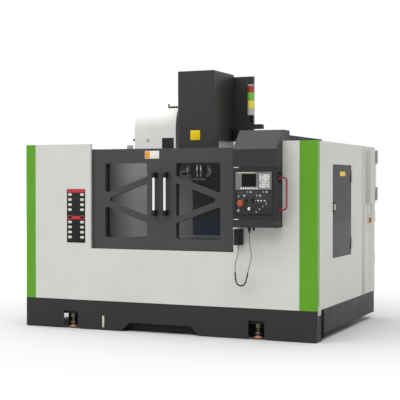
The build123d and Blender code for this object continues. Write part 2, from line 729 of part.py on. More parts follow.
def corner_radii(points):
    """The radius for each corner of a route: 0.45 of the shorter run over the tangent of half the turn."""
    radii = []
    for before, here, after in zip(points, points[1:], points[2:]):
        run_in = Vector(*here) - Vector(*before)
        run_out = Vector(*after) - Vector(*here)
        half_turn = radians(run_in.get_angle(run_out)) / 2
        radii.append(0.45 * min(run_in.length, run_out.length) / tan(half_turn))
    return radii


def cord_tube(route, radius, label):
    """A round tube along a route of straight runs joined by tangent arcs."""
    points = [(x, back(depth), z) for x, depth, z in route]
    radii = corner_radii(points)
    with BuildLine(mode=Mode.PRIVATE) as path:
        FilletPolyline(*points, radius=radii)
    wire = path.wires()[0]
    start = Plane(origin=wire @ 0, z_dir=wire % 0)
    with BuildSketch(start, mode=Mode.PRIVATE) as section:
        Circle(radius)
    with BuildPart(mode=Mode.PRIVATE) as tube:
        add(section.sketch)
        sweep(path=wire)
    expected = pi * radius**2 * wire.length
    print(label, "radii", [round(r) for r in radii], "length", round(wire.length))
    print(label, "volume", round(tube.part.volume), "section times length", round(expected))
    return tube.part


with BuildPart() as cord_upper:
    add(cord_tube(UPPER_ROUTE, CORD_RADIUS, "cord_upper"))

with BuildPart() as cord_coil:
    add(cord_tube(COIL_ROUTE, COIL_RADIUS, "cord_coil"))

with BuildPart() as cord_lower:
    add(cord_tube(LOWER_ROUTE, CORD_RADIUS, "cord_lower"))

# Bed with crossbars for the feet, ways for the saddle and a raised seat for the column
FOOT_PLACES = (
    (CENTRE_X - FOOT_SPAN, FRONT_FOOT_DEPTH),
    (CENTRE_X + CENTRE_FOOT_SHIFT, CENTRE_FOOT_DEPTH),
    (CENTRE_X + FOOT_SPAN, FRONT_FOOT_DEPTH),
    (CENTRE_X - BED_HALF + 90, 1150),
    (CENTRE_X + BED_HALF - 90, 1150),
    (CENTRE_X - FOOT_SPAN, REAR_CROSSBAR + REAR_CROSSBAR_DEPTH / 2),
    (CENTRE_X + FOOT_SPAN, REAR_CROSSBAR + REAR_CROSSBAR_DEPTH / 2),
)
BED_BACK = COLUMN_FRONT + COLUMN_DEPTH + 20
Y_SCREW_Z = (BED_TOP + SADDLE_BOTTOM) / 2
BEARING_LENGTH = 40
NUT_HALF = 45
BLOCK_HALF = 36
BLOCK_LENGTH = 100


def screw_bearing(centre, half, along):
    """A bearing block about a screw's axis: a cube bored along X, Y or Z."""
    x, y, z = (about(middle, size) for middle, size in zip(centre, half))
    block(x, y, z)
    start = list(centre)
    axis = "XYZ".index(along)
    start[axis] -= half[axis]
    rod(start, SCREW_RADIUS + RUNNING, 2 * half[axis], along, Mode.SUBTRACT)


with BuildPart() as bed:
    bed_x = about(CENTRE_X, BED_HALF)
    bar_x = about(CENTRE_X, CROSSBAR_HALF)
    bed_front = back(FOLD + SEAM)
    block(bed_x, (bed_front, back(BED_BACK)), (FOOT_HEIGHT, BED_SHOULDER))
    block(bar_x, (bed_front, back(FRONT_CROSSBAR)), (FOOT_HEIGHT, BED_SHOULDER))
    rear_y = (back(REAR_CROSSBAR), back(REAR_CROSSBAR + REAR_CROSSBAR_DEPTH))
    block(bar_x, rear_y, (FOOT_HEIGHT, SKIRT_TOP))
    block(about(CENTRE_X, BED_HALF - 10), (back(BED_WAY_START), back(BED_WAY_END)), (BED_SHOULDER, BED_TOP))
    block(bed_x, (back(BED_WAY_END), back(BED_BACK)), (BED_SHOULDER, COLUMN_SEAT))
    for side in (-1, 1):
        rail_mid = CENTRE_X + side * Y_RAIL_HALF
        rail_y = (back(BED_WAY_START + 20), back(BED_WAY_END - 100))
        block(about(rail_mid, RAIL_WIDTH / 2), rail_y, (BED_TOP, BED_TOP + RAIL_RISE))
    for depth in (BED_WAY_START + BEARING_LENGTH / 2, BED_WAY_END - 90):
        bearing_half = (NUT_HALF, BEARING_LENGTH / 2, Y_SCREW_Z - BED_TOP - 3)
        screw_bearing((CENTRE_X, back(depth), Y_SCREW_Z), bearing_half, "Y")
    far_bearing_y = (back(BED_WAY_END - 110), back(BED_WAY_END - 70))
    block(about(CENTRE_X, NUT_HALF), far_bearing_y, (BED_TOP, BED_TOP + 4))
    bearing_y = (back(BED_WAY_START), back(BED_WAY_START + BEARING_LENGTH))
    block(about(CENTRE_X, NUT_HALF), bearing_y, (BED_TOP, BED_TOP + 4))
    motor_y = (back(BED_WAY_START - MOTOR_LENGTH), back(BED_WAY_START))
    block(about(CENTRE_X, MOTOR_HALF), motor_y, (BED_SHOULDER, BED_SHOULDER + 2 * MOTOR_HALF))
    niche_x = (TANK_LEFT + TANK_WIDTH + 5, CENTRE_X + ARCH_BOTTOM / 2)
    block(niche_x, (back(NICHE_DEPTH), back(NICHE_DEPTH + RIB_THICK)), (RIB_CLEAR, FOOT_HEIGHT))
    rib_y = (back(FRONT_CROSSBAR - 90), back(FRONT_CROSSBAR - 90 + RIB_THICK))
    for low_x, high_x in ((-CROSSBAR_HALF, 60 - FOOT_SPAN), (FOOT_SPAN - 190, CROSSBAR_HALF)):
        block((CENTRE_X + low_x, CENTRE_X + high_x), rib_y, (RIB_CLEAR, FOOT_HEIGHT))
    for foot_x, foot_depth in FOOT_PLACES:
        rod((foot_x, back(foot_depth), FOOT_HEIGHT), BOLT_RADIUS + 1, 70, "Z", Mode.SUBTRACT)

with BuildPart() as levelling_feet:
    for foot_x, foot_depth in FOOT_PLACES:
        rod((foot_x, back(foot_depth), 0), FOOT_PAD, 14, "Z")
        with Locations((foot_x, back(foot_depth), 14)):
            Cone(FOOT_PAD - 5, BOLT_RADIUS + 4, 20, align=FROM_END)
        rod((foot_x, back(foot_depth), 34), BOLT_RADIUS, FOOT_HEIGHT + 60 - 34, "Z")
        with BuildSketch(Plane.XY.offset(FOOT_HEIGHT - 24)):
            with Locations((foot_x, back(foot_depth))):
                RegularPolygon(21, 6)
        extrude(amount=24)

# Column with its rails, screw bearings and motor
Z_RAIL_WIDTH = 45
Z_SCREW_DEPTH = COLUMN_FRONT - 32

with BuildPart() as column:
    with BuildSketch(Plane.YZ.offset(CENTRE_X - COLUMN_HALF)):
        Polygon(
            (back(COLUMN_FRONT), COLUMN_SEAT),
            (back(COLUMN_FRONT + COLUMN_DEPTH), COLUMN_SEAT),
            (back(COLUMN_FRONT + COLUMN_DEPTH), COLUMN_BEND),
            (back(COLUMN_FRONT + COLUMN_NECK_DEPTH), COLUMN_NECK),
            (back(COLUMN_FRONT + COLUMN_NECK_DEPTH), COLUMN_TOP),
            (back(COLUMN_FRONT), COLUMN_TOP),
            align=None,
        )
    extrude(amount=2 * COLUMN_HALF)
    for side in (-1, 1):
        rail_mid = CENTRE_X + side * Z_RAIL_HALF
        rail_y = (back(Z_RAIL_FRONT), back(COLUMN_FRONT))
        block(about(rail_mid, Z_RAIL_WIDTH / 2), rail_y, (900, COLUMN_TOP - 20))
        cheek_x = sorted((CENTRE_X + side * COLUMN_NECK_HALF, CENTRE_X + side * (COLUMN_HALF + 1)))
        cheek_y = (back(COLUMN_FRONT - 1), back(COLUMN_FRONT + COLUMN_DEPTH))
        block(cheek_x, cheek_y, (COLUMN_NECK, COLUMN_TOP + 1), Mode.SUBTRACT)
        arm_y = (back(COLUMN_COVER_FRONT + SHEET + SEAM), back(COLUMN_FRONT + 1))
        block(about(CENTRE_X + side * (COLUMN_HALF - 21), 20), arm_y, about(PANEL_TOP + 75, 15))
    for bearing_z in (925, COLUMN_TOP - 40):
        bearing_centre = (CENTRE_X, back(Z_SCREW_DEPTH), bearing_z)
        screw_bearing(bearing_centre, (60, COLUMN_FRONT - Z_SCREW_DEPTH, BEARING_LENGTH / 2), "Z")
    motor_y = about(back(Z_SCREW_DEPTH + 40), MOTOR_HALF)
    block(about(CENTRE_X, MOTOR_HALF), motor_y, (COLUMN_TOP, COLUMN_TOP + MOTOR_LENGTH))

# Saddle: runs on the bed's rails and carries the rails of the table
X_SCREW_Z = (SADDLE_TOP + TABLE_BOTTOM) / 2 - 3
CENTRE_Y = back(SPINDLE_DEPTH)


def guide_block(x, y, z, rail_x, rail_z):
    """A guide carriage with the slot that its rail runs through."""
    block(x, y, z)
    block(rail_x, y, rail_z, Mode.SUBTRACT)


with BuildPart() as saddle:
    with BuildSketch(front_view(CENTRE_Y - SADDLE_REACH)):
        Polygon(
            (CENTRE_X - SADDLE_WAIST, SADDLE_BOTTOM),
            (CENTRE_X + SADDLE_WAIST, SADDLE_BOTTOM),
            (CENTRE_X + SADDLE_HALF, SADDLE_TOP - 70),
            (CENTRE_X + SADDLE_HALF, SADDLE_TOP),
            (CENTRE_X - SADDLE_HALF, SADDLE_TOP),
            (CENTRE_X - SADDLE_HALF, SADDLE_TOP - 70),
            align=None,
        )
    extrude(amount=-2 * SADDLE_REACH)
    for side in (-1, 1):
        rail_y = about(CENTRE_Y + side * X_RAIL_HALF, RAIL_WIDTH / 2)
        block(about(CENTRE_X, SADDLE_HALF), rail_y, (SADDLE_TOP, SADDLE_TOP + RAIL_RISE))
        for end in (-1, 1):
            guide_block(
                about(CENTRE_X + side * Y_RAIL_HALF, BLOCK_HALF),
                about(CENTRE_Y + end * (SADDLE_REACH - 80), BLOCK_LENGTH / 2),
                (BED_TOP + GUIDE_GAP, SADDLE_BOTTOM),
                about(CENTRE_X + side * Y_RAIL_HALF, RAIL_WIDTH / 2 + SLIDING),
                (BED_TOP + GUIDE_GAP, BED_TOP + RAIL_RISE + SLIDING),
            )
        bearing_x = CENTRE_X + side * (SADDLE_HALF - 30)
        block(about(bearing_x, BEARING_LENGTH / 2), about(CENTRE_Y, NUT_HALF), (SADDLE_TOP, X_SCREW_Z))
        bearing_half = (BEARING_LENGTH / 2, NUT_HALF, SCREW_RADIUS + 4)
        screw_bearing((bearing_x, CENTRE_Y, X_SCREW_Z), bearing_half, "X")
    screw_bearing((CENTRE_X, CENTRE_Y, Y_SCREW_Z), (NUT_HALF, 50, SCREW_RADIUS + 3), "Y")
    block(about(CENTRE_X, NUT_HALF), about(CENTRE_Y, 50), (Y_SCREW_Z + SCREW_RADIUS + 2, SADDLE_BOTTOM))
    motor_x = (CENTRE_X + SADDLE_HALF, CENTRE_X + SADDLE_HALF + MOTOR_LENGTH)
    block(motor_x, about(CENTRE_Y, MOTOR_HALF), (TABLE_BOTTOM - 5 - 2 * MOTOR_HALF, TABLE_BOTTOM - 5))

with BuildPart() as y_way_cover:
    cover_back = CENTRE_Y - SADDLE_REACH - SEAM
    step_run = (SPINDLE_DEPTH - SADDLE_REACH - SEAM - Y_COVER_FRONT) / Y_COVER_STEPS
    cover_steps = []
    for step in range(Y_COVER_STEPS):
        step_top = SADDLE_TOP - 75 - (Y_COVER_STEPS - 1 - step) * Y_COVER_RISE
        cover_steps += [(Y_COVER_FRONT + place * step_run, step_top) for place in (step, step + 1)]
    with BuildSketch(Plane.YZ.offset(CENTRE_X - Y_COVER_HALF)):
        Polygon(
            (cover_back, Y_COVER_LOW),
            (back(Y_COVER_FRONT), Y_COVER_LOW),
            *((back(depth), height) for depth, height in cover_steps),
            align=None,
        )
    extrude(amount=2 * Y_COVER_HALF)
    bottom = y_way_cover.faces().sort_by(Axis.Z)[0]
    rear = y_way_cover.faces().sort_by(Axis.Y)[-1]
    offset(amount=-SHEET, openings=[bottom, rear], kind=Kind.INTERSECTION)

# Table with its T slots
with BuildPart() as table:
    block(about(CENTRE_X, TABLE_HALF), about(CENTRE_Y, TABLE_REACH), (TABLE_BOTTOM, TABLE_TOP))
    for place in range(-2, 3):
        slot_y = CENTRE_Y + place * SLOT_PITCH
        slot_x = about(CENTRE_X, TABLE_HALF)
        block(slot_x, about(slot_y, SLOT_WIDTH / 2), (TABLE_TOP - SLOT_DEPTH / 2, TABLE_TOP), Mode.SUBTRACT)
        foot_z = (TABLE_TOP - SLOT_DEPTH, TABLE_TOP - SLOT_DEPTH / 2)
        block(slot_x, about(slot_y, SLOT_FOOT / 2), foot_z, Mode.SUBTRACT)
    for side in (-1, 1):
        for end in (-1, 1):
            block_x = about(CENTRE_X + end * 200, BLOCK_LENGTH / 2)
            rail_y = CENTRE_Y + side * X_RAIL_HALF
            block(block_x, about(rail_y, BLOCK_HALF), (SADDLE_TOP + GUIDE_GAP, TABLE_BOTTOM))
            rail_z = (SADDLE_TOP + GUIDE_GAP, SADDLE_TOP + RAIL_RISE + SLIDING)
            block(block_x, about(rail_y, RAIL_WIDTH / 2 + SLIDING), rail_z, Mode.SUBTRACT)
    block(about(CENTRE_X, 50), about(CENTRE_Y, NUT_HALF), (X_SCREW_Z, TABLE_BOTTOM))
    screw_bearing((CENTRE_X, CENTRE_Y, X_SCREW_Z), (50, NUT_HALF, SCREW_RADIUS + 2), "X")

# Ball screws of the three axes
with BuildPart() as x_screw:
    rod((CENTRE_X - SADDLE_HALF + 6, CENTRE_Y, X_SCREW_Z), SCREW_RADIUS, 2 * SADDLE_HALF - 12, "X")

with BuildPart() as y_screw:
    y_screw_start = (CENTRE_X, back(BED_WAY_START + 2), Y_SCREW_Z)
    rod(y_screw_start, SCREW_RADIUS, BED_WAY_END - BED_WAY_START - 74, "Y")

with BuildPart() as z_screw:
    rod((CENTRE_X, back(Z_SCREW_DEPTH), 908), SCREW_RADIUS, COLUMN_TOP - 908 - 2, "Z")

# Head: a cantilevered casting on a carriage, with the spindle nose, motor and coolant nozzles

with BuildPart() as head:
    with BuildSketch(Plane.YZ.offset(CENTRE_X - HEAD_HALF)):
        Polygon(
            (back(HEAD_FRONT), HEAD_BOTTOM),
            (back(SPINDLE_DEPTH + NOSE_RADIUS + 40), HEAD_BOTTOM),
            (back(CARRIAGE_BACK - CARRIAGE_THICK), CARRIAGE_BOTTOM),
            (back(CARRIAGE_BACK - CARRIAGE_THICK), HEAD_TOP),
            (back(HEAD_FRONT), HEAD_TOP),
            align=None,
        )
    extrude(amount=2 * HEAD_HALF)
    carriage_y = (back(CARRIAGE_BACK - CARRIAGE_THICK), back(CARRIAGE_BACK))
    block(about(CENTRE_X, CARRIAGE_HALF), carriage_y, (CARRIAGE_BOTTOM, HEAD_TOP))
    rod((CENTRE_X, CENTRE_Y, NOSE_BOTTOM), NOSE_RADIUS, HEAD_BOTTOM - NOSE_BOTTOM, "Z")
    bore_depth = SPINDLE_TOP + 10 - NOSE_BOTTOM
    rod((CENTRE_X, CENTRE_Y, NOSE_BOTTOM), SPINDLE_SHAFT + RUNNING, bore_depth, "Z", Mode.SUBTRACT)
    for side in (-1, 1):
        rail_mid = CENTRE_X + side * Z_RAIL_HALF
        for low in (CARRIAGE_BOTTOM + 20, HEAD_TOP - 120):
            block(about(rail_mid, 40), (back(CARRIAGE_BACK), back(COLUMN_FRONT - 10)), (low, low + 100))
            slot_y = (back(Z_RAIL_FRONT - SLIDING), back(COLUMN_FRONT - 10))
            block(about(rail_mid, Z_RAIL_WIDTH / 2 + SLIDING), slot_y, (low, low + 100), Mode.SUBTRACT)
        lug_x = sorted((CENTRE_X + side * HEAD_HALF, CENTRE_X + side * (HEAD_COVER_HALF - SHEET - SEAM)))
        block(lug_x, about(back(1300), 30), (HEAD_TOP - 60, HEAD_TOP - 20))
        block(lug_x, about(back(HEAD_COVER_STEP - 64), 30), (HEAD_BOTTOM + 60, HEAD_BOTTOM + 100))
    block(about(CENTRE_X, NUT_HALF), (back(CARRIAGE_BACK), back(Z_SCREW_DEPTH)), (1860, 1960))
    screw_bearing((CENTRE_X, back(Z_SCREW_DEPTH), 1910), (NUT_HALF, 24, 50), "Z")
    block(about(CENTRE_X, 100), about(CENTRE_Y, 90), (HEAD_TOP, HEAD_TOP + 340))

with BuildPart() as spindle:
    with BuildSketch(Plane.XZ.offset(-CENTRE_Y)):
        Polygon(
            (CENTRE_X + TAPER_MOUTH, SPINDLE_BOTTOM),
            (CENTRE_X + SPINDLE_FLANGE, SPINDLE_BOTTOM),
            (CENTRE_X + SPINDLE_FLANGE, NOSE_BOTTOM - SLIDING),
            (CENTRE_X + SPINDLE_SHAFT, NOSE_BOTTOM - SLIDING),
            (CENTRE_X + SPINDLE_SHAFT, SPINDLE_TOP),
            (CENTRE_X, SPINDLE_TOP),
            (CENTRE_X, SPINDLE_BOTTOM + TAPER_DEPTH + 30),
            (CENTRE_X + TAPER_END - 4, SPINDLE_BOTTOM + TAPER_DEPTH + 30),
            (CENTRE_X + TAPER_END - 4, SPINDLE_BOTTOM + TAPER_DEPTH),
            (CENTRE_X + TAPER_END, SPINDLE_BOTTOM + TAPER_DEPTH),
            align=None,
        )
    revolve(axis=Axis((CENTRE_X, CENTRE_Y, 0), (0, 0, 1)))
    for side in (-1, 1):
        key_x = about(CENTRE_X + side * 40, 14)
        block(key_x, about(CENTRE_Y, 8), (SPINDLE_BOTTOM - 7, SPINDLE_BOTTOM))

with BuildPart() as head_cover:
    with BuildSketch(Plane.YZ.offset(CENTRE_X - HEAD_COVER_HALF)):
        Polygon(
            (back(HEAD_COVER_FRONT), HEAD_BOTTOM),
            (back(HEAD_COVER_STEP), HEAD_BOTTOM),
            (back(HEAD_COVER_STEP), HEAD_COVER_SHOULDER),
            (back(HEAD_COVER_BACK), HEAD_COVER_SHOULDER),
            (back(HEAD_COVER_BACK), HEAD_COVER_TOP),
            (back(HEAD_COVER_FRONT), HEAD_COVER_TOP),
            align=None,
        )
    extrude(amount=2 * HEAD_COVER_HALF)
    front_edges = head_cover.edges().filter_by(Axis.Z).group_by(Axis.Y)[0]
    chamfer(front_edges, length=12)
    undersides = head_cover.faces().filter_by(Axis.Z).sort_by(Axis.Z)[:2]
    rears = head_cover.faces().filter_by(Axis.Y).sort_by(Axis.Y)[1:]
    offset(amount=-SHEET, openings=[*undersides, *rears], kind=Kind.INTERSECTION)

# Way covers in front of the column: the upper one moves with the head over the fixed lower one
with BuildPart() as upper_way_cover:
    cover_y = (back(WAY_COVER_DEPTH), back(WAY_COVER_DEPTH + SHEET))
    block(about(CENTRE_X, WAY_COVER_HALF), cover_y, (UPPER_COVER_LOW, CARRIAGE_BOTTOM - 2))
    for fold in range(COVER_FOLDS):
        fold_low = UPPER_COVER_LOW + fold * (CARRIAGE_BOTTOM - 2 - UPPER_COVER_LOW) / COVER_FOLDS
        fold_y = (back(WAY_COVER_DEPTH - 4), back(WAY_COVER_DEPTH + 1))
        block(about(CENTRE_X, WAY_COVER_HALF), fold_y, (fold_low, fold_low + 12))
    ledge_y = (back(WAY_COVER_DEPTH), back(CARRIAGE_BACK))
    block(about(CENTRE_X, HEAD_HALF), ledge_y, (CARRIAGE_BOTTOM - 6, CARRIAGE_BOTTOM - SEAM))

with BuildPart() as lower_way_cover:
    lower_front = WAY_COVER_DEPTH + 2 * SHEET
    cover_z = (LOWER_COVER_LOW, LOWER_COVER_HIGH)
    cover_y = (back(lower_front), back(GUARD_DEPTH - SEAM))
    tray(about(CENTRE_X, WAY_COVER_HALF), cover_y, cover_z, 1, True)
    lid_y = (back(lower_front + SHEET), cover_y[1])
    lid_z = (LOWER_COVER_HIGH - SHEET, LOWER_COVER_HIGH)
    block(about(CENTRE_X, WAY_COVER_HALF - SHEET), lid_y, lid_z, Mode.SUBTRACT)

# Column cover: a folded sheet, slotted for the head's neck, with a bracket; the signal tower hangs on it
with BuildPart() as column_cover:
    cover_x = about(CENTRE_X, COLUMN_COVER_HALF)
    cover_y = (back(COLUMN_COVER_FRONT), back(COLUMN_COVER_FRONT + COLUMN_COVER_FOLD))
    tray(cover_x, cover_y, (PANEL_TOP, COLUMN_COVER_TOP), 1, True)
    slot_y = (cover_y[0] - 1, cover_y[1] + 1)
    block(about(CENTRE_X, COLUMN_SLOT_HALF), slot_y, (PANEL_TOP - 1, COLUMN_COVER_TOP - 60), Mode.SUBTRACT)
    block((cover_x[1] - 1, cover_x[1] + BRACKET_LENGTH), cover_y, (BRACKET_LOW, BRACKET_HIGH))
    bracket_edges = column_cover.edges().filter_by(Axis.Y).sort_by(Axis.X)[-2:]
    fillet(bracket_edges.sort_by(Axis.Z)[-1], radius=20)

TOWER_X = CENTRE_X + COLUMN_COVER_HALF - 5

with BuildPart() as tower_light:
    low = TOWER_BOTTOM
    for high in TOWER_BANDS:
        rod((TOWER_X, back(TOWER_DEPTH), low), TOWER_RADIUS, high - low - 3, "Z")
        rod((TOWER_X, back(TOWER_DEPTH), high - 3), TOWER_RADIUS - 3, 3, "Z")
        low = high
    arm_y = (back(TOWER_DEPTH), back(COLUMN_COVER_FRONT) - SEAM)
    block(about(TOWER_X - 15, 15), arm_y, (TOWER_BOTTOM - 8, TOWER_BOTTOM))
    block(about(TOWER_X - 15, 15), (arm_y[1] - 4, arm_y[1]), (TOWER_BOTTOM - 60, TOWER_BOTTOM))

# Tool magazine: an arched cover over a drum of pots, on the changer's gearbox
ARM_X = CENTRE_X - ARM_REACH


def arch(x, inset, rear):
    """The arched outline of the magazine, cut off at a depth, between two x values."""
    radius = MAGAZINE_RADIUS - inset
    with BuildSketch(Plane.YZ.offset(x[0])) as outline:
        with Locations((back(MAGAZINE_CENTRE), MAGAZINE_HEIGHT)):
            Circle(radius)
        with Locations((back(MAGAZINE_CENTRE), (MAGAZINE_BOTTOM + MAGAZINE_HEIGHT) / 2)):
            Rectangle(2 * radius, MAGAZINE_HEIGHT - MAGAZINE_BOTTOM)
        with Locations((back(rear), MAGAZINE_BOTTOM)):
            Rectangle(2 * radius, 4 * radius, align=(Align.MIN, Align.CENTER), mode=Mode.SUBTRACT)
        with Locations((back(MAGAZINE_CENTRE), MAGAZINE_BOTTOM)):
            Rectangle(2 * radius, radius, align=(Align.CENTER, Align.MAX), mode=Mode.SUBTRACT)
    return extrude(outline.sketch, amount=x[1] - x[0], mode=Mode.PRIVATE)


with BuildPart() as magazine_cover:
    magazine_back = MAGAZINE_CENTRE + MAGAZINE_RADIUS
    add(arch((MAGAZINE_LEFT, MAGAZINE_WAIST), 0, magazine_back))
    add(arch((MAGAZINE_WAIST, MAGAZINE_RIGHT), 0, MAGAZINE_NOTCH))
    add(arch((MAGAZINE_LEFT + SHEET, MAGAZINE_WAIST - SHEET), SHEET, magazine_back), mode=Mode.SUBTRACT)
    inner_x = (MAGAZINE_WAIST - SHEET, MAGAZINE_RIGHT - SHEET)
    add(arch(inner_x, SHEET, MAGAZINE_NOTCH - SHEET), mode=Mode.SUBTRACT)

with BuildPart() as changer_gearbox:
    top = MAGAZINE_BOTTOM - SEAM
    front_y = (back(SPINDLE_DEPTH - 60), back(WAY_COVER_DEPTH - 25))
    block((ARM_X - 165, ARM_X + 50), front_y, (GEARBOX_BOTTOM, top))
    column_left = CENTRE_X - COLUMN_HALF - SEAM
    rear_y = (back(WAY_COVER_DEPTH - 25), back(COLUMN_FRONT + 100))
    middle_y = (rear_y[0], back(COLUMN_FRONT - 40))
    block((ARM_X - 185, CENTRE_X - CARRIAGE_HALF - 15), middle_y, (GEARBOX_BOTTOM, top))
    block((ARM_X - 185, column_left), rear_y, (GEARBOX_BOTTOM, top))
    post_x = (DRUM_RIGHT + SEAM, DRUM_RIGHT + 40)
    block(post_x, about(back(MAGAZINE_CENTRE), 50), (top, MAGAZINE_HEIGHT + 60))
    hub_start = (DRUM_RIGHT - DRUM_PLATE - 30, back(MAGAZINE_CENTRE), MAGAZINE_HEIGHT)
    rod(hub_start, HUB_RADIUS, DRUM_PLATE + 40, "X")
    sleeve_bore = SLEEVE_RADIUS + RUNNING
    rod((ARM_X, CENTRE_Y, GEARBOX_BOTTOM), sleeve_bore, top - GEARBOX_BOTTOM - 8, "Z", Mode.SUBTRACT)

with BuildPart() as tool_drum:
    plate_start = (DRUM_RIGHT - DRUM_PLATE, back(MAGAZINE_CENTRE), MAGAZINE_HEIGHT)
    rod(plate_start, POT_CIRCLE, DRUM_PLATE, "X")
    for place in range(POT_COUNT):
        angle = 2 * pi * place / POT_COUNT
        pot_y = back(MAGAZINE_CENTRE) + POT_CIRCLE * cos(angle)
        pot_z = MAGAZINE_HEIGHT + POT_CIRCLE * sin(angle)
        rod((DRUM_RIGHT - DRUM_PLATE - POT_LENGTH, pot_y, pot_z), POT_RADIUS, POT_LENGTH + DRUM_PLATE, "X")
    rod(plate_start, HUB_RADIUS + RUNNING, DRUM_PLATE, "X", Mode.SUBTRACT)

with BuildPart() as arm_sleeve:
    rod((ARM_X, CENTRE_Y, ARM_TOP + SEAM), SLEEVE_RADIUS, GEARBOX_BOTTOM + 145 - ARM_TOP, "Z")
    rod((ARM_X, CENTRE_Y, ARM_TOP - ARM_THICK), 18, ARM_THICK + 10, "Z")

with BuildPart() as swap_arm:
    with BuildSketch(Plane.XY.offset(ARM_TOP - ARM_THICK)):
        with Locations((ARM_X, CENTRE_Y)):
            Rectangle(64, 2 * ARM_REACH)
            Circle(48)
        for side in (-1, 1):
            with Locations((ARM_X, CENTRE_Y + side * ARM_REACH)):
                Circle(49)
        for side in (-1, 1):
            with Locations((ARM_X, CENTRE_Y + side * ARM_REACH)):
                Circle(32, mode=Mode.SUBTRACT)
                mouth_align = (Align.MAX if side > 0 else Align.MIN, Align.CENTER)
                Rectangle(104, 42, align=mouth_align, mode=Mode.SUBTRACT)
        with Locations((ARM_X, CENTRE_Y)):
            Circle(18 + RUNNING, mode=Mode.SUBTRACT)
    extrude(amount=ARM_THICK)

# Electric cabinet with its fittings, door, cooler and main switch
CABINET_Y = (back(SIDE_END + SEAM), back(CABINET_BACK))
CABINET_HINGE = (HALF - 8, back(CABINET_BACK + CABINET_DOOR_GAP + CABINET_DOOR_THICK + 6))
CABINET_DOOR_Y = (CABINET_Y[1] + CABINET_DOOR_GAP, CABINET_Y[1] + CABINET_DOOR_GAP + CABINET_DOOR_THICK)
MODULE_PITCH = (CABINET_WIDTH - 140) / 4
CABINET_HINGE_LOW = 620
CABINET_HINGE_HIGH = 1080

with BuildPart() as electric_cabinet:
    tray((CABINET_LEFT, HALF), CABINET_Y, PANEL_Z, 1, True)
    for row in range(3):
        row_z = SKIRT_TOP + 160 + row * 480
        for place in range(4):
            module_x = CABINET_LEFT + 70 + place * MODULE_PITCH
            module_y = (CABINET_Y[0] + SHEET, CABINET_Y[0] + 130)
            block((module_x, module_x + MODULE_PITCH - 40), module_y, (row_z, row_z + 330))
    plate_y = about(back(SWITCH_DEPTH), 55)
    block((HALF, HALF + 5), plate_y, about(SWITCH_HEIGHT, 46))
    block((HALF, HALF + 4), plate_y, (SWITCH_HEIGHT + 50, SWITCH_HEIGHT + 180))
    for low in (CABINET_HINGE_LOW, CABINET_HINGE_HIGH):
        rod((*CABINET_HINGE, low), 5, KNUCKLE_LENGTH, "Z")
        block((HALF - SHEET, HALF), (CABINET_Y[1], CABINET_HINGE[1]), (low, low + KNUCKLE_LENGTH))
        block((CABINET_HINGE[0], HALF), about(CABINET_HINGE[1], 1.5), (low, low + KNUCKLE_LENGTH))

with BuildPart() as cabinet_door:
    tray((CABINET_LEFT + 2, HALF - 5), CABINET_DOOR_Y, (SKIRT_TOP + 2, PANEL_TOP - 2), 1, False)
    for low in (CABINET_HINGE_LOW, CABINET_HINGE_HIGH):
        knuckle_low = low + KNUCKLE_LENGTH + SEAM
        rod((*CABINET_HINGE, knuckle_low), 5, KNUCKLE_LENGTH, "Z")
        leaf_x = (CABINET_HINGE[0] - 12, CABINET_HINGE[0])
        block(leaf_x, (CABINET_DOOR_Y[1], CABINET_HINGE[1]), (knuckle_low, knuckle_low + KNUCKLE_LENGTH))
    latch_y = (CABINET_DOOR_Y[1], CABINET_DOOR_Y[1] + 18)
    block((CABINET_LEFT + 24, CABINET_LEFT + 48), latch_y, (1050, 1170))

with BuildPart() as cooler:
    cooler_y = (CABINET_DOOR_Y[1] + SEAM, CABINET_DOOR_Y[1] + SEAM + COOLER_THICK)
    block((COOLER_LEFT, COOLER_RIGHT), cooler_y, (COOLER_LOW, COOLER_HIGH))
    chamfer(cooler.edges().filter_by(Axis.Z).group_by(Axis.Y)[-1], length=10)
    for low in (COOLER_LOW + 30, COOLER_HIGH - 130):
        for slat in range(4):
            slat_z = low + slat * 26
            for slat_x in ((COOLER_RIGHT - 6, COOLER_RIGHT), (COOLER_LEFT, COOLER_LEFT + 6)):
                block(slat_x, (cooler_y[0] + 25, cooler_y[1] - 25), (slat_z, slat_z + 14), Mode.SUBTRACT)

with BuildPart() as main_switch:
    switch_start = (HALF + 5 + SEAM, back(SWITCH_DEPTH), SWITCH_HEIGHT)
    rod(switch_start, SWITCH_RADIUS, 10, "X")
    block((HALF + 15, HALF + 28), about(back(SWITCH_DEPTH), 8), about(SWITCH_HEIGHT, SWITCH_RADIUS - 3))

with BuildPart() as cable_duct:
    duct_z = (PANEL_TOP + SEAM, PANEL_TOP + SEAM + DUCT_HEIGHT)
    block((DUCT_LEFT, DUCT_LEFT + DUCT_WIDTH), (back(CONSOLE_OVER + SEAM), back(SIDE_END + 80)), duct_z)

with BuildPart() as coolant_tank:
    tank_x = (TANK_LEFT, TANK_LEFT + TANK_WIDTH)
    tray(tank_x, (back(SHEET + SEAM), back(TANK_END)), (0, TANK_HEIGHT), 2, True)
    gauge_y = (back(0), back(SHEET + SEAM))
    block(about(GAUGE_X, GAUGE_WIDTH / 2 - 3), gauge_y, (GAUGE_LOW + 8, TANK_HEIGHT))

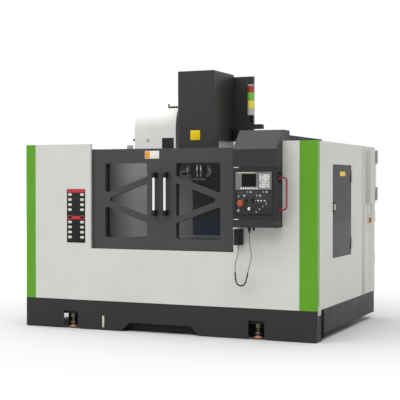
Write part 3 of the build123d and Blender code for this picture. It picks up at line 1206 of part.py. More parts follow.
# Chip pan: a hopper with sloped sides, cut out round the bed, with a lip under the lower door rail
with BuildPart() as chip_pan:
    pan_half = HALF - SHEET - SEAM
    pan_y = (back(PAN_FRONT), back(GUARD_DEPTH - SEAM))
    with BuildSketch(front_view(pan_y[0])):
        Polygon(
            (-pan_half, PAN_RIM),
            (-pan_half, PAN_KNEE),
            (CENTRE_X - PAN_FLAT_HALF, BED_SHOULDER + SEAM),
            (CENTRE_X + PAN_FLAT_HALF, BED_SHOULDER + SEAM),
            (pan_half, PAN_KNEE),
            (pan_half, PAN_RIM),
            align=None,
        )
    extrude(amount=-(pan_y[1] - pan_y[0]))
    top = chip_pan.faces().sort_by(Axis.Z)[-1]
    offset(amount=-SHEET, openings=[top], kind=Kind.INTERSECTION)
    bed_hole_x = about(CENTRE_X, BED_HALF + 5)
    block(bed_hole_x, (back(300), pan_y[1] + 1), (BED_SHOULDER - 1, GUARD_BOTTOM), Mode.SUBTRACT)
    lip_x = about(0, HALF - FOLD - SEAM)
    block(lip_x, (back(FOLD + SEAM), back(PAN_FRONT + SHEET)), (PAN_LIP, PAN_RIM))

# Rear guard: two wings between the side panels and the column
with BuildPart() as rear_guard:
    wing_half = HALF - FOLD - SEAM
    inner = COLUMN_HALF + SEAM
    with BuildSketch(front_view(back(GUARD_DEPTH))):
        Polygon(
            (-wing_half, GUARD_BOTTOM),
            (CENTRE_X - inner, GUARD_BOTTOM),
            (CENTRE_X - inner, GEARBOX_BOTTOM - 40),
            (ARM_X - 225, GEARBOX_BOTTOM - 40),
            (ARM_X - 225, MAGAZINE_BOTTOM - 20),
            (MAGAZINE_LEFT - 40, MAGAZINE_BOTTOM - 20),
            (MAGAZINE_LEFT - 40, GUARD_TOP),
            (-wing_half, GUARD_TOP),
            align=None,
        )
        Polygon(
            (CENTRE_X + inner, GUARD_BOTTOM),
            (wing_half, GUARD_BOTTOM),
            (wing_half, GUARD_TOP),
            (DUCT_LEFT + DUCT_WIDTH + 4, GUARD_TOP),
            (DUCT_LEFT + DUCT_WIDTH + 4, PANEL_TOP),
            (DUCT_LEFT - 4, PANEL_TOP),
            (DUCT_LEFT - 4, GUARD_TOP),
            (CENTRE_X + inner, GUARD_TOP),
            align=None,
        )
    extrude(amount=-SHEET)
    for side, top in ((-1, GEARBOX_BOTTOM - 40), (1, GUARD_TOP)):
        flange_x = sorted((CENTRE_X + side * inner, CENTRE_X + side * (inner + SHEET)))
        block(flange_x, (back(GUARD_DEPTH), back(COLUMN_FRONT + 60)), (GUARD_BOTTOM, top))

PIECES = {
    "front_skirt": front_skirt,
    "side_skirts": side_skirts,
    "left_front_panel": left_front_panel,
    "right_front_panel": right_front_panel,
    "lower_front_panel": lower_front_panel,
    "corner_posts": corner_posts,
    "left_side_panel": left_side_panel,
    "right_side_panel": right_side_panel,
    "side_door": side_door,
    "door_rails": door_rails,
    "interlock_switch": interlock_switch,
    "left_door": left_door,
    "left_window": left_window,
    "left_handle": left_handle,
    "right_door": right_door,
    "right_window": right_window,
    "right_handle": right_handle,
    "console_housing": console_housing,
    "operator_unit": operator_unit,
    "display_panel": display_panel,
    "estop_button": estop_button,
    "start_button": start_button,
    "override_knob": override_knob,
    "unit_handle": unit_handle,
    "pendant_holder": pendant_holder,
    "pendant_body": pendant_body,
    "handwheel": handwheel,
    "cord_gland": cord_gland,
    "cord_upper": cord_upper,
    "cord_coil": cord_coil,
    "cord_lower": cord_lower,
    "bed": bed,
    "levelling_feet": levelling_feet,
    "column": column,
    "saddle": saddle,
    "y_way_cover": y_way_cover,
    "table": table,
    "x_screw": x_screw,
    "y_screw": y_screw,
    "z_screw": z_screw,
    "head": head,
    "spindle": spindle,
    "head_cover": head_cover,
    "upper_way_cover": upper_way_cover,
    "lower_way_cover": lower_way_cover,
    "column_cover": column_cover,
    "tower_light": tower_light,
    "magazine_cover": magazine_cover,
    "changer_gearbox": changer_gearbox,
    "tool_drum": tool_drum,
    "arm_sleeve": arm_sleeve,
    "swap_arm": swap_arm,
    "electric_cabinet": electric_cabinet,
    "cabinet_door": cabinet_door,
    "cooler": cooler,
    "main_switch": main_switch,
    "cable_duct": cable_duct,
    "coolant_tank": coolant_tank,
    "chip_pan": chip_pan,
    "rear_guard": rear_guard,
}

os.makedirs("parts", exist_ok=True)
for name, piece in PIECES.items():
    piece.part.label = name
    export_step(piece.part, f"parts/{name}.step")
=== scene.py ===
import math

import bmesh
import bpy
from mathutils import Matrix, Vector


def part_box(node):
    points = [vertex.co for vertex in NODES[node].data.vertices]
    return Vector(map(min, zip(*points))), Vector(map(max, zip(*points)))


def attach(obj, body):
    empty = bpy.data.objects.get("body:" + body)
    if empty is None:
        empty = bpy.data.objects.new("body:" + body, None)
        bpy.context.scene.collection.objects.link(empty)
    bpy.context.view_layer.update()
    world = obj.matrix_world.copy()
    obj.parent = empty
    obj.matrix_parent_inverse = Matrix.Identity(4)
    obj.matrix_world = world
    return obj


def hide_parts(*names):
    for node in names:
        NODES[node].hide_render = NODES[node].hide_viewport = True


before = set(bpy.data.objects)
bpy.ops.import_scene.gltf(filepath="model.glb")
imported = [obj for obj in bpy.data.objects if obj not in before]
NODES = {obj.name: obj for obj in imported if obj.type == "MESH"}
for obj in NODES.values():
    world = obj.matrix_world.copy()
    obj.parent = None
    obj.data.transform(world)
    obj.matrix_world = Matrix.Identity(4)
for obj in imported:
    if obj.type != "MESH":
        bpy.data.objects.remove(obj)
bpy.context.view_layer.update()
scene = bpy.context.scene

# Shared places, in metres: depths are counted back from the front panels, as in the solids
FRONT = -1.058
MID_X = -0.028
MID_Y = FRONT + 0.980
CONSOLE_Y = FRONT - 0.180
PLATE = 0.0012  # thickness of the plates
FILM = 0.0006  # thickness of the fields on them


def back(depth):
    return FRONT + depth


def in_scene(name, data):
    """A new object in the scene around some data."""
    obj = bpy.data.objects.new(name, data)
    scene.collection.objects.link(obj)
    return obj


# Materials
NOISE_LOW, NOISE_HIGH = 0.3, 0.7  # the reach of a noise's values that counts


def srgb(*values):
    """Linear colour from 0 to 255 screen values."""
    out = []
    for value in values:
        c = value / 255
        out.append(c / 12.92 if c <= 0.04045 else ((c + 0.055) / 1.055) ** 2.4)
    return (*out, 1.0)


def new_material(name):
    mat = bpy.data.materials.new(name)
    mat.use_nodes = True
    tree = mat.node_tree
    bsdf = tree.nodes["Principled BSDF"]
    return mat, tree, bsdf


def noise(tree, scale, detail=3.0, stretch=(1, 1, 1)):
    """A noise over the object's own coordinates, in cycles per metre."""
    coord = tree.nodes.new("ShaderNodeTexCoord")
    mapping = tree.nodes.new("ShaderNodeMapping")
    mapping.inputs["Scale"].default_value = stretch
    tex = tree.nodes.new("ShaderNodeTexNoise")
    tex.inputs["Scale"].default_value = scale
    tex.inputs["Detail"].default_value = detail
    tree.links.new(coord.outputs["Object"], mapping.inputs["Vector"])
    tree.links.new(mapping.outputs["Vector"], tex.inputs["Vector"])
    return tex.outputs["Fac"]


def tint(tree, bsdf, colour, amount, fac):
    """Varies the colour a little, darker and lighter, along a factor."""
    ramp = tree.nodes.new("ShaderNodeValToRGB")
    ramp.color_ramp.elements[0].position = NOISE_LOW
    ramp.color_ramp.elements[1].position = NOISE_HIGH
    ramp.color_ramp.elements[0].color = (*[c * (1 - amount) for c in colour[:3]], 1)
    ramp.color_ramp.elements[1].color = (*[min(1, c * (1 + amount)) for c in colour[:3]], 1)
    tree.links.new(fac, ramp.inputs["Fac"])
    tree.links.new(ramp.outputs["Color"], bsdf.inputs["Base Color"])


def spread(tree, bsdf, socket, fac, low, high):
    """Maps a factor on to a socket between two values."""
    node = tree.nodes.new("ShaderNodeMapRange")
    node.inputs["From Min"].default_value = NOISE_LOW
    node.inputs["From Max"].default_value = NOISE_HIGH
    node.inputs["To Min"].default_value = low
    node.inputs["To Max"].default_value = high
    tree.links.new(fac, node.inputs["Value"])
    tree.links.new(node.outputs["Result"], bsdf.inputs[socket])


def bump(tree, bsdf, fac, depth, strength=1.0, round_edge=0.0):
    """Raises the surface by a factor, over edges that look rounded by a small radius."""
    node = tree.nodes.new("ShaderNodeBump")
    node.inputs["Strength"].default_value = strength
    node.inputs["Distance"].default_value = depth
    tree.links.new(fac, node.inputs["Height"])
    if round_edge:
        bevel = tree.nodes.new("ShaderNodeBevel")
        bevel.samples = 4
        bevel.inputs["Radius"].default_value = round_edge
        tree.links.new(bevel.outputs["Normal"], node.inputs["Normal"])
    tree.links.new(node.outputs["Normal"], bsdf.inputs["Normal"])


def coat(name, colour, rough=0.42, grain=700, depth=0.00012, edge=0.002, cloud=0.03, sheen=0.5):
    """Powder coat: a fine orange-peel, cloudy sheen and edges rounded by the paint."""
    mat, tree, bsdf = new_material(name)
    bsdf.inputs["Specular IOR Level"].default_value = sheen
    tint(tree, bsdf, colour, cloud, noise(tree, 3.5))
    spread(tree, bsdf, "Roughness", noise(tree, 9.0), rough - 0.05, rough + 0.06)
    bump(tree, bsdf, noise(tree, grain, 2.0), depth, 0.5, edge)
    return mat


def plastic(name, colour, rough=0.4, grain=2200, depth=0.00005, edge=0.0006, sheen=0.22):
    """Moulded or printed plastic: a dull sheen and a very fine grain."""
    mat, tree, bsdf = new_material(name)
    bsdf.inputs["Specular IOR Level"].default_value = sheen
    tint(tree, bsdf, colour, 0.04, noise(tree, 40))
    spread(tree, bsdf, "Roughness", noise(tree, 60), rough - 0.05, rough + 0.05)
    bump(tree, bsdf, noise(tree, grain, 1.0), depth, 0.5, edge)
    return mat


def metal(name, colour, rough=0.32, stretch=(1, 1, 30), edge=0.0008):
    """Drawn or ground steel with streaks along one direction."""
    mat, tree, bsdf = new_material(name)
    bsdf.inputs["Metallic"].default_value = 1.0
    streaks = noise(tree, 45, 4.0, stretch)
    tint(tree, bsdf, colour, 0.06, streaks)
    spread(tree, bsdf, "Roughness", streaks, rough - 0.08, rough + 0.1)
    bump(tree, bsdf, streaks, 0.00003, 0.4, edge)
    return mat


def glass(name, colour, alpha, rough=0.04, sheen=0.5):
    """A flat pane that lets the view through by its alpha."""
    mat, tree, bsdf = new_material(name)
    bsdf.inputs["Specular IOR Level"].default_value = sheen
    bsdf.inputs["Base Color"].default_value = colour
    bsdf.inputs["Alpha"].default_value = alpha
    spread(tree, bsdf, "Roughness", noise(tree, 12), rough, rough + 0.05)
    mat.surface_render_method = "BLENDED"
    return mat


def lens(name, colour):
    """A ribbed lamp lens."""
    mat, tree, bsdf = new_material(name)
    fac = noise(tree, 260, 1.0, (1, 1, 0.02))
    tint(tree, bsdf, colour, 0.08, fac)
    bsdf.inputs["Roughness"].default_value = 0.18
    bump(tree, bsdf, fac, 0.0006, 0.6)
    return mat


WHITE = coat("white_coat", srgb(216, 215, 210))
BRIGHT_WHITE = coat("cover_white", srgb(244, 244, 241))
PALE = coat("pale_coat", srgb(196, 198, 197))
GUARD = coat("guard_coat", srgb(214, 215, 213), rough=0.36)
STRIP = coat("strip_coat", srgb(188, 188, 184))
# Painted shade: the colour of the recess in the cabinet's side
RECESS_SHADE = coat("recess_shade_coat", srgb(166, 166, 163))
# Near black: the latch's own colour, and painted shade on the plates that close the gaps behind the skirt and the
# guard
LATCH_AND_SHADE_BLACK = coat("latch_and_shade_black", srgb(22, 22, 22), rough=0.8, sheen=0.05)
CASTING = coat("head_casting", srgb(216, 215, 210))
CABINET = coat("cabinet_coat", srgb(203, 203, 198))
GREEN = coat("green_coat", srgb(94, 162, 30), rough=0.42, sheen=0.3)
SKIRT = coat("skirt_coat", srgb(52, 52, 52), rough=0.5, grain=420, depth=0.0003, sheen=0.15)
DOOR = coat("door_coat", srgb(66, 67, 67), rough=0.46, grain=420, depth=0.0003, sheen=0.25)
CONSOLE = coat("console_coat", srgb(48, 48, 48), rough=0.4, grain=420, depth=0.0003, sheen=0.22)
HEAD = coat("head_coat", srgb(50, 49, 48), rough=0.42, grain=420, depth=0.0003, sheen=0.3)
CAST = coat("casting_coat", srgb(176, 180, 178), rough=0.55, grain=160, depth=0.0006)
# Painted shade: a dark coat on the bed and the spindle nose, for the shade under the machine and inside the
# enclosure
CAST_IN_SHADE = coat("casting_painted_shade", srgb(36, 36, 38), rough=0.6, grain=160, depth=0.0006, sheen=0.2)
BLUE = coat("cover_blue", srgb(44, 52, 92), rough=0.4, sheen=0.3)
SLATE = coat("cover_slate", srgb(50, 52, 62), rough=0.4, sheen=0.3)
PANEL = coat("panel_grey", srgb(50, 51, 54), rough=0.5, sheen=0.2)
PANEL_PALE = coat("plate_grey", srgb(150, 152, 152), rough=0.5)
MAROON = coat("grab_coat", srgb(140, 26, 44), rough=0.35)
COPPER = coat("foot_copper", srgb(206, 138, 96), rough=0.35)
STEEL = metal("ground_steel", srgb(196, 198, 200))
BAR = metal("bar_steel", srgb(226, 228, 230), 0.22, (30, 30, 1))
SHEET_STEEL = metal("sheet_steel", srgb(170, 172, 174), 0.4)
BOLT = metal("bolt_steel", srgb(96, 92, 78), 0.45)
BLACK = plastic("black_plastic", srgb(24, 24, 26))
UNIT = plastic("unit_face", srgb(38, 39, 41), 0.5)
GREY = plastic("grey_plastic", srgb(202, 203, 200), 0.45)
FRAME_GREY = plastic("frame_grey", srgb(120, 121, 120), 0.45)
KEY_WHITE = plastic("key_white", srgb(236, 236, 232), 0.4)
KEY_PALE = plastic("key_pale", srgb(216, 216, 212), 0.4)
KEY_GREY = plastic("key_grey", srgb(150, 152, 152), 0.4)
KEY_DARK = plastic("key_dark", srgb(50, 51, 54), 0.4)
RED = plastic("button_red", srgb(172, 76, 42), 0.28, sheen=0.5)
GREEN_BUTTON = plastic("button_green", srgb(96, 112, 88), 0.28, sheen=0.4)
YELLOW = plastic("yellow_plate", srgb(250, 214, 20), 0.4)
RING_YELLOW = plastic("ring_yellow", srgb(132, 84, 26), 0.4)
SWITCH_BRASS = plastic("switch_brass", srgb(172, 134, 78), 0.4)
YELLOW_PALE = plastic("pale_line", srgb(226, 224, 150), 0.4)
ORANGE = plastic("orange_plate", srgb(240, 160, 50), 0.4)
PLATE_BLACK = plastic("plate_black", srgb(20, 20, 22), 0.35)
PLATE_GREY_DARK = plastic("grille_grey", srgb(92, 94, 94), 0.5)
PLATE_RED = plastic("plate_red", srgb(196, 52, 60), 0.35)
RUBBER = plastic("gasket_rubber", srgb(28, 28, 28), 0.7, 900, 0.0002)
CORD = plastic("cord_jacket", srgb(26, 26, 27), 0.55, 1500, 0.0001)
TUBE = plastic("gauge_tube", srgb(206, 210, 186), 0.3)
SCREEN = plastic("screen_glass", srgb(10, 12, 12), 0.12, 100, 0.0, sheen=0.12)
PANE = glass("clear_pane", srgb(38, 42, 44), 0.34, sheen=0.15)
SMOKED = glass("smoked_pane", srgb(38, 40, 42), 0.97, 0.08, 0.05)
LENS_RED = lens("lens_red", srgb(176, 44, 42))
LENS_GREEN = lens("lens_green", srgb(126, 198, 60))
LENS_YELLOW = lens("lens_yellow", srgb(250, 240, 84))


def set_ramp(mat, *colours):
    """Sets the two colours that a material's own tint runs between."""
    ramp = next(node for node in mat.node_tree.nodes if node.type == "VALTORGB").color_ramp
    for element, colour in zip(ramp.elements, colours):
        element.color = (*colour[:3], 1)


def split_along(mat, axis, limit, colour, solid=False, blur=0.0):
    """Paints the part of an object past a limit on one of its own axes in a second colour.

    With solid, that part is also not see-through. Blur is half the width of the change, in metres.
    """
    tree = mat.node_tree
    bsdf = tree.nodes["Principled BSDF"]
    coord = tree.nodes.new("ShaderNodeTexCoord")
    axes = tree.nodes.new("ShaderNodeSeparateXYZ")
    past = tree.nodes.new("ShaderNodeMapRange")
    past.inputs["From Min"].default_value = limit - blur
    past.inputs["From Max"].default_value = limit + blur + 0.0001
    tree.links.new(coord.outputs["Object"], axes.inputs["Vector"])
    tree.links.new(axes.outputs[axis], past.inputs["Value"])
    paint = tree.nodes.new("ShaderNodeMixRGB")
    base = bsdf.inputs["Base Color"]
    if base.is_linked:
        tree.links.new(base.links[0].from_socket, paint.inputs["Color1"])
    else:
        paint.inputs["Color1"].default_value = base.default_value
    paint.inputs["Color2"].default_value = colour
    tree.links.new(past.outputs["Result"], paint.inputs["Fac"])
    tree.links.new(paint.outputs["Color"], base)
    if solid:
        cover = tree.nodes.new("ShaderNodeMapRange")
        cover.inputs["To Min"].default_value = bsdf.inputs["Alpha"].default_value
        tree.links.new(past.outputs["Result"], cover.inputs["Value"])
        tree.links.new(cover.outputs["Result"], bsdf.inputs["Alpha"])


# The side door is a smoked pane up to its hinge leaf, which is white and solid
side_door_place = NODES["side_door"].matrix_world.inverted() @ Vector((1.6, back(1.1955), 1.2))
split_along(SMOKED, "Y", side_door_place[1], srgb(206, 206, 201), solid=True)
# Painted shade and light: the casting is painted dark inside the enclosure, for the shade it lies in there, and a
# brighter white above the roof line, for more light on it
ROOF_LINE = 1.80
dark = srgb(62, 64, 66)
split_along(CASTING, "Z", ROOF_LINE, srgb(236, 236, 232))
set_ramp(CASTING, dark, dark)
# Painted shade: the guard is painted dark at its left end, for the shade in the enclosure's left corner, pale
# next to that and greyer to the right
split_along(GUARD, "X", -1.325, srgb(214, 215, 213), blur=0.175)
split_along(GUARD, "X", -0.70, srgb(178, 179, 176), blur=0.30)
set_ramp(GUARD, *[[c * share for c in srgb(84, 86, 88)] for share in (0.96, 1.04)])

# Material of each node that shows as it is in the solids
LOOKS = {
    CASTING: "head",
    WHITE: "left_front_panel right_front_panel lower_front_panel left_side_panel right_side_panel cooler",
    CABINET: "electric_cabinet cabinet_door",
    BRIGHT_WHITE: "magazine_cover",
    PALE: "door_rails pendant_holder chip_pan column",
    GREEN: "corner_posts",
    SKIRT: "front_skirt side_skirts cable_duct coolant_tank",
    DOOR: "left_door right_door",
    CONSOLE: "console_housing",
    HEAD: "head_cover column_cover",
    CAST: "saddle changer_gearbox",
    CAST_IN_SHADE: "bed",
    SLATE: "upper_way_cover",
    BLUE: "lower_way_cover",
    SWITCH_BRASS: "main_switch",
    MAROON: "unit_handle",
    STEEL: "table x_screw y_screw z_screw spindle arm_sleeve swap_arm",
    SHEET_STEEL: "y_way_cover",
    BLACK: "override_knob pendant_body handwheel cord_gland interlock_switch",
    UNIT: "operator_unit",
    GREY: "tool_drum",
    FRAME_GREY: "display_panel",
    RED: "estop_button",
    GREEN_BUTTON: "start_button",
    PANE: "left_window right_window",
    SMOKED: "side_door",
}
for mat, names in LOOKS.items():
    for name in names.split():
        for slot in NODES[name].material_slots:
            slot.material = mat


# Mesh helpers
def finish_piece(obj, body, mat):
    """Gives a piece its material and the body it rides on."""
    obj.data.materials.append(mat)
    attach(obj, body)
    return obj


def mesh_piece(name, bm, body, mat, sharp=35):
    """Turns a bmesh into a piece, smooth apart from edges sharper than an angle."""
    bmesh.ops.recalc_face_normals(bm, faces=bm.faces)
    for face in bm.faces:
        face.smooth = True
    for edge in bm.edges:
        if len(edge.link_faces) == 2 and edge.calc_face_angle(0) > math.radians(sharp):
            edge.smooth = False
    mesh = bpy.data.meshes.new(name)
    bm.to_mesh(mesh)
    bm.free()
    return finish_piece(in_scene(name, mesh), body, mat)


def join_loops(bm, loops):
    """Faces between each closed loop of points and the next."""
    for low, high in zip(loops, loops[1:]):
        for i in range(len(low)):
            j = (i + 1) % len(low)
            bm.faces.new((low[i], low[j], high[j], high[i]))


def rounded_outline(width, height, radius, steps=6):
    """Points of a rounded rectangle about the origin."""
    points = []
    for cx, cy, start in ((1, 1, 0), (-1, 1, 90), (-1, -1, 180), (1, -1, 270)):
        for step in range(steps + 1):
            angle = math.radians(start + 90 * step / steps)
            x = cx * (width / 2 - radius) + radius * math.cos(angle)
            y = cy * (height / 2 - radius) + radius * math.sin(angle)
            points.append((x, y))
    return points


# Right, up and outward directions of a surface that faces along an axis
AXES = {
    "-Y": (Vector((1, 0, 0)), Vector((0, 0, 1)), Vector((0, -1, 0))),
    "+X": (Vector((0, 1, 0)), Vector((0, 0, 1)), Vector((1, 0, 0))),
    "-X": (Vector((0, -1, 0)), Vector((0, 0, 1)), Vector((-1, 0, 0))),
    "+Y": (Vector((-1, 0, 0)), Vector((0, 0, 1)), Vector((0, 1, 0))),
    "+Z": (Vector((1, 0, 0)), Vector((0, 1, 0)), Vector((0, 0, 1))),
}


def slabs(name, body, centres, size, facing, mat, radius=0.002, edge=0.0006):
    """Equal plates with rounded corners and eased edges: size is width, height and thickness off the seat."""
    width, height, thick = size
    right, up, out = AXES[facing]
    radius = min(radius, width / 2.01, height / 2.01)
    edge = min(edge, thick / 2, radius)
    bm = bmesh.new()
    for centre in centres:
        centre = Vector(centre)
        rings = []
        for level, inset in ((0, 0), (thick - edge, 0), (thick - edge * 0.3, edge * 0.3), (thick, edge)):
            ring_radius = max(radius - inset, 0.0001)
            outline = rounded_outline(width - 2 * inset, height - 2 * inset, ring_radius)
            rings.append([bm.verts.new(centre + right * a + up * b + out * level) for a, b in outline])
        join_loops(bm, rings)
        bm.faces.new(rings[-1])
        bm.faces.new(list(reversed(rings[0])))
    return mesh_piece(name, bm, body, mat, 50)


def slab(name, body, centre, size, facing, mat, radius=0.002, edge=0.0006):
    """One plate, as in slabs."""
    return slabs(name, body, [centre], size, facing, mat, radius, edge)


def lathe(name, body, centre, facing, profile, mat, segments=40):
    """A turned piece: profile pairs are radius and distance along the facing direction."""
    right, up, out = AXES[facing]
    centre = Vector(centre)
    bm = bmesh.new()
    rings = []
    for radius, level in profile:
        if radius < 1e-6:
            rings.append([bm.verts.new(centre + out * level)])
            continue
        ring = []
        for i in range(segments):
            angle = 2 * math.pi * i / segments
            offset = right * math.cos(angle) * radius + up * math.sin(angle) * radius
            ring.append(bm.verts.new(centre + offset + out * level))
        rings.append(ring)
    for low, high in zip(rings, rings[1:]):
        for i in range(segments):
            j = (i + 1) % segments
            if len(low) == 1:
                bm.faces.new((low[0], high[j], high[i]))
            elif len(high) == 1:
                bm.faces.new((low[i], low[j], high[0]))
            else:
                bm.faces.new((low[i], low[j], high[j], high[i]))
    return mesh_piece(name, bm, body, mat, 35)


def brick(name, body, low, high, mat, edge=0.003):
    """A box between two corners, with rounded edges."""
    bm = bmesh.new()
    bmesh.ops.create_cube(bm, size=1)
    for vert in bm.verts:
        vert.co = Vector(h if c > 0 else l for c, l, h in zip(vert.co, low, high))
    bmesh.ops.bevel(bm, geom=bm.edges[:], offset=edge, segments=3, profile=0.5, affect="EDGES")
    return mesh_piece(name, bm, body, mat, 40)


def smooth_curve(name, points, resolution):
    """A smooth open line led by control points."""
    curve = bpy.data.curves.new(name, "CURVE")
    curve.dimensions = "3D"
    spline = curve.splines.new("NURBS")
    spline.points.add(len(points) - 1)
    for point, place in zip(spline.points, points):
        point.co = (*place, 1)
    spline.order_u = 3
    spline.use_endpoint_u = True
    curve.resolution_u = resolution
    return curve


def pipe(name, body, points, radius, mat, resolution=8):
    """A round bar or hose along a smooth line."""
    curve = smooth_curve(name, points, resolution)
    curve.bevel_depth = radius
    curve.bevel_resolution = 3
    curve.use_fill_caps = True
    return finish_piece(in_scene(name, curve), body, mat)


# Camera: fitted to the photograph's straight edges
camera_data = bpy.data.cameras.new("camera")
camera_data.sensor_width = 36
camera_data.lens = 94.71
camera_data.clip_end = 100
camera = in_scene("camera", camera_data)
camera.location = (4.5536, back(-9.4435), 1.4952)
dip, turn = 0.87, 23.698
camera.rotation_euler = (math.radians(90 - dip), 0, math.radians(turn))
scene.camera = camera

# Cord: out of the console's gland, a curly stretch, and into the pendant
UPPER = (
    (0.960, -0.088, 1.030),
    (0.960, -0.088, 0.972),
    (0.966, -0.087, 0.905),
    (0.979, -0.085, 0.840),
    (0.978, -0.084, 0.777),
    (0.957, -0.082, 0.715),
    (0.943, -0.080, 0.655),
)
COIL = (
    (0.943, -0.080, 0.655),
    (0.9304, -0.0782, 0.601),
    (0.9164, -0.0765, 0.548),
    (0.896, -0.075, 0.5276),
    (0.868, -0.074, 0.5201),
    (0.840, -0.073, 0.5276),
    (0.8196, -0.0715, 0.548),
    (0.808, -0.069, 0.600),
    (0.806, -0.066, 0.655),
)
LOWER = (
    (0.806, -0.066, 0.655),
    (0.804, -0.063, 0.710),
    (0.811, -0.055, 0.762),
    (0.824, -0.045, 0.812),
    (0.828, -0.037, 0.858),
    (0.828, -0.037, 0.908),
)
CORD_DIAMETER = 0.006
HELIX_RADIUS = 0.0048
HELIX_PITCH = 0.0072
TURN_POINTS = 12


def placed(route):
    """A route's points, with its depths turned into places."""
    return [Vector((x, back(depth), z)) for x, depth, z in route]


def route_line(points):
    """The points of the smooth line of a route."""
    curve = smooth_curve("route", points, 24)
    obj = in_scene("route", curve)
    bpy.context.view_layer.update()
    mesh = bpy.data.meshes.new_from_object(obj.evaluated_get(bpy.context.evaluated_depsgraph_get()))
    line = [v.co.copy() for v in mesh.vertices]
    bpy.data.objects.remove(obj)
    bpy.data.curves.remove(curve)
    bpy.data.meshes.remove(mesh)
    return line


def helix_along(line, radius, pitch, per_turn):
    """Points that wind round a line, with their radius growing from nothing at both ends."""
    lengths = [0.0]
    for a, b in zip(line, line[1:]):
        lengths.append(lengths[-1] + (b - a).length)
    total = lengths[-1]
    turns = round(total / pitch)
    points = []
    side = Vector((0, 1, 0))
    index = 0
    count = turns * per_turn
    for step in range(1, count):
        along = total * step / count
        while lengths[index + 1] < along:
            index += 1
        share = (along - lengths[index]) / (lengths[index + 1] - lengths[index])
        place = line[index].lerp(line[index + 1], share)
        heading = (line[index + 1] - line[index]).normalized()
        side = (side - heading * side.dot(heading)).normalized()
        other = heading.cross(side)
        angle = 2 * math.pi * step / per_turn
        ease = min(1, along / (1.5 * pitch), (total - along) / (1.5 * pitch))
        points.append(place + (side * math.cos(angle) + other * math.sin(angle)) * radius * ease)
    return points


helix = helix_along(route_line(placed(COIL)), HELIX_RADIUS, HELIX_PITCH, TURN_POINTS)
cord_points = placed(UPPER) + helix + placed(LOWER)
cord = pipe("pendant_cord", "machine", cord_points, CORD_DIAMETER / 2, CORD, 3)
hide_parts("cord_upper", "cord_coil", "cord_lower")

# Signal tower: base, lenses and cap, each a turned piece
TOWER = (MID_X + 0.435, back(1.400))
TOWER_RADIUS = 0.037
SHOULDER = 0.0345
base = ((0, 0), (0.033, 0), (TOWER_RADIUS, 0.003), (TOWER_RADIUS, 0.073), (0.034, 0.076), (0, 0.076))
tower_base = lathe("tower_base", "machine", (*TOWER, 2.251), "+Z", base, GREY)
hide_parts("tower_light")
for name, low, high, mat in (
    ("tower_lens_yellow", 2.327, 2.413, LENS_YELLOW),
    ("tower_lens_green", 2.415, 2.501, LENS_GREEN),
    ("tower_lens_red", 2.503, 2.572, LENS_RED),
    ("tower_cap", 2.574, 2.588, GREY),
):
    height = high - low
    profile = (
        (0, 0), (SHOULDER, 0), (TOWER_RADIUS, 0.002), (TOWER_RADIUS, height - 0.004), (SHOULDER, height - 0.001),
        (0, height),
    )
    lathe(name, "machine", (*TOWER, low), "+Z", profile, mat, 56)
bracket_x = TOWER[0] - 0.015
slab("tower_arm", "machine", (bracket_x, back(1.4365), 2.247), (0.030, 0.042, 0.004), "+Z", BLACK, 0.004)
slab("tower_foot", "machine", (bracket_x, back(1.4576), 2.221), (0.030, 0.060, 0.004), "-Y", BLACK, 0.004)


# Window sleeves: a deep dark frame behind the struts of each door, round its pane
def sleeve(name, body, x, z, y, radius, wall, mat):
    """A thin rounded frame between two depths."""
    centre = Vector(((x[0] + x[1]) / 2, 0, (z[0] + z[1]) / 2))
    bm = bmesh.new()
    loops = []
    for grow, level in ((0, y[0]), (0, y[1]), (wall, y[1]), (wall, y[0])):
        outline = rounded_outline(x[1] - x[0] + 2 * grow, z[1] - z[0] + 2 * grow, radius + grow)
        loops.append([bm.verts.new(centre + Vector((a, level, b))) for a, b in outline])
    join_loops(bm, loops + loops[:1])
    return mesh_piece(name, bm, body, mat, 40)


for side, body in ((-1, "left_door"), (1, "right_door")):
    x = sorted((MID_X + side * 0.159, MID_X + side * 0.639))
    depths = (back(0.0795), back(0.1340) if side < 0 else back(0.1150))
    sleeve(f"{body}_sleeve", body, x, (0.949, 1.707), depths, 0.022, 0.003, RUBBER)

# Door handles: a bright bar between two dark blocks
BAR_RADIUS, BAR_LENGTH = 0.0155, 0.331
bar_profile = ((0, 0), (BAR_RADIUS, 0), (BAR_RADIUS, BAR_LENGTH), (0, BAR_LENGTH))
for side, body in ((-1, "left_door"), (1, "right_door")):
    x = MID_X + side * 0.061
    bar = lathe(f"{body}_bar", body, (x, back(-0.016), 1.230), "+Z", bar_profile, BAR, 48)
    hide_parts(body.replace("door", "handle"))
    for place, low in (("low", 1.179), ("high", 1.557)):
        corner = (x - 0.0185, back(-0.036), low)
        brick(f"{body}_block_{place}", body, corner, (x + 0.0185, back(0.034), low + 0.055), BLACK, 0.006)

# Plates on the enclosure, kept free of words and signs
field_y = back(0) - PLATE
slab("rule_plate", "machine", (-0.991, back(0), 1.1665), (0.218, 0.555, PLATE), "-Y", PLATE_BLACK, 0.006)
bands = [(-0.991, field_y, z) for z in (1.424, 1.148)]
slabs("rule_bands", "machine", bands, (0.206, 0.034, FILM), "-Y", PLATE_RED, 0.003)
rows = [1.386 - row * 0.052 - (0.024 if row > 3 else 0) for row in range(9)]
marks = [(x, field_y, z) for z in rows for x in (-1.063, -0.919)]
slabs("rule_marks", "machine", marks, (0.044, 0.026, FILM), "-Y", KEY_PALE, 0.010)
door_y, door_z = back(0.034), 1.7885
slab("door_plate", "left_door", (-0.132, door_y, door_z), (0.158, 0.078, PLATE), "-Y", KEY_WHITE, 0.004)
slab("door_plate_field", "left_door", (-0.182, door_y - PLATE, door_z), (0.052, 0.070, FILM), "-Y", ORANGE, 0.003)
slab("head_plate", "head", (-0.031, back(0.873), 2.0185), (0.112, 0.105, PLATE), "-Y", YELLOW, 0.004)
slab("side_plate", "side_door", (1.599, back(0.871), 1.598), (0.193, 0.045, PLATE), "+X", YELLOW, 0.004)

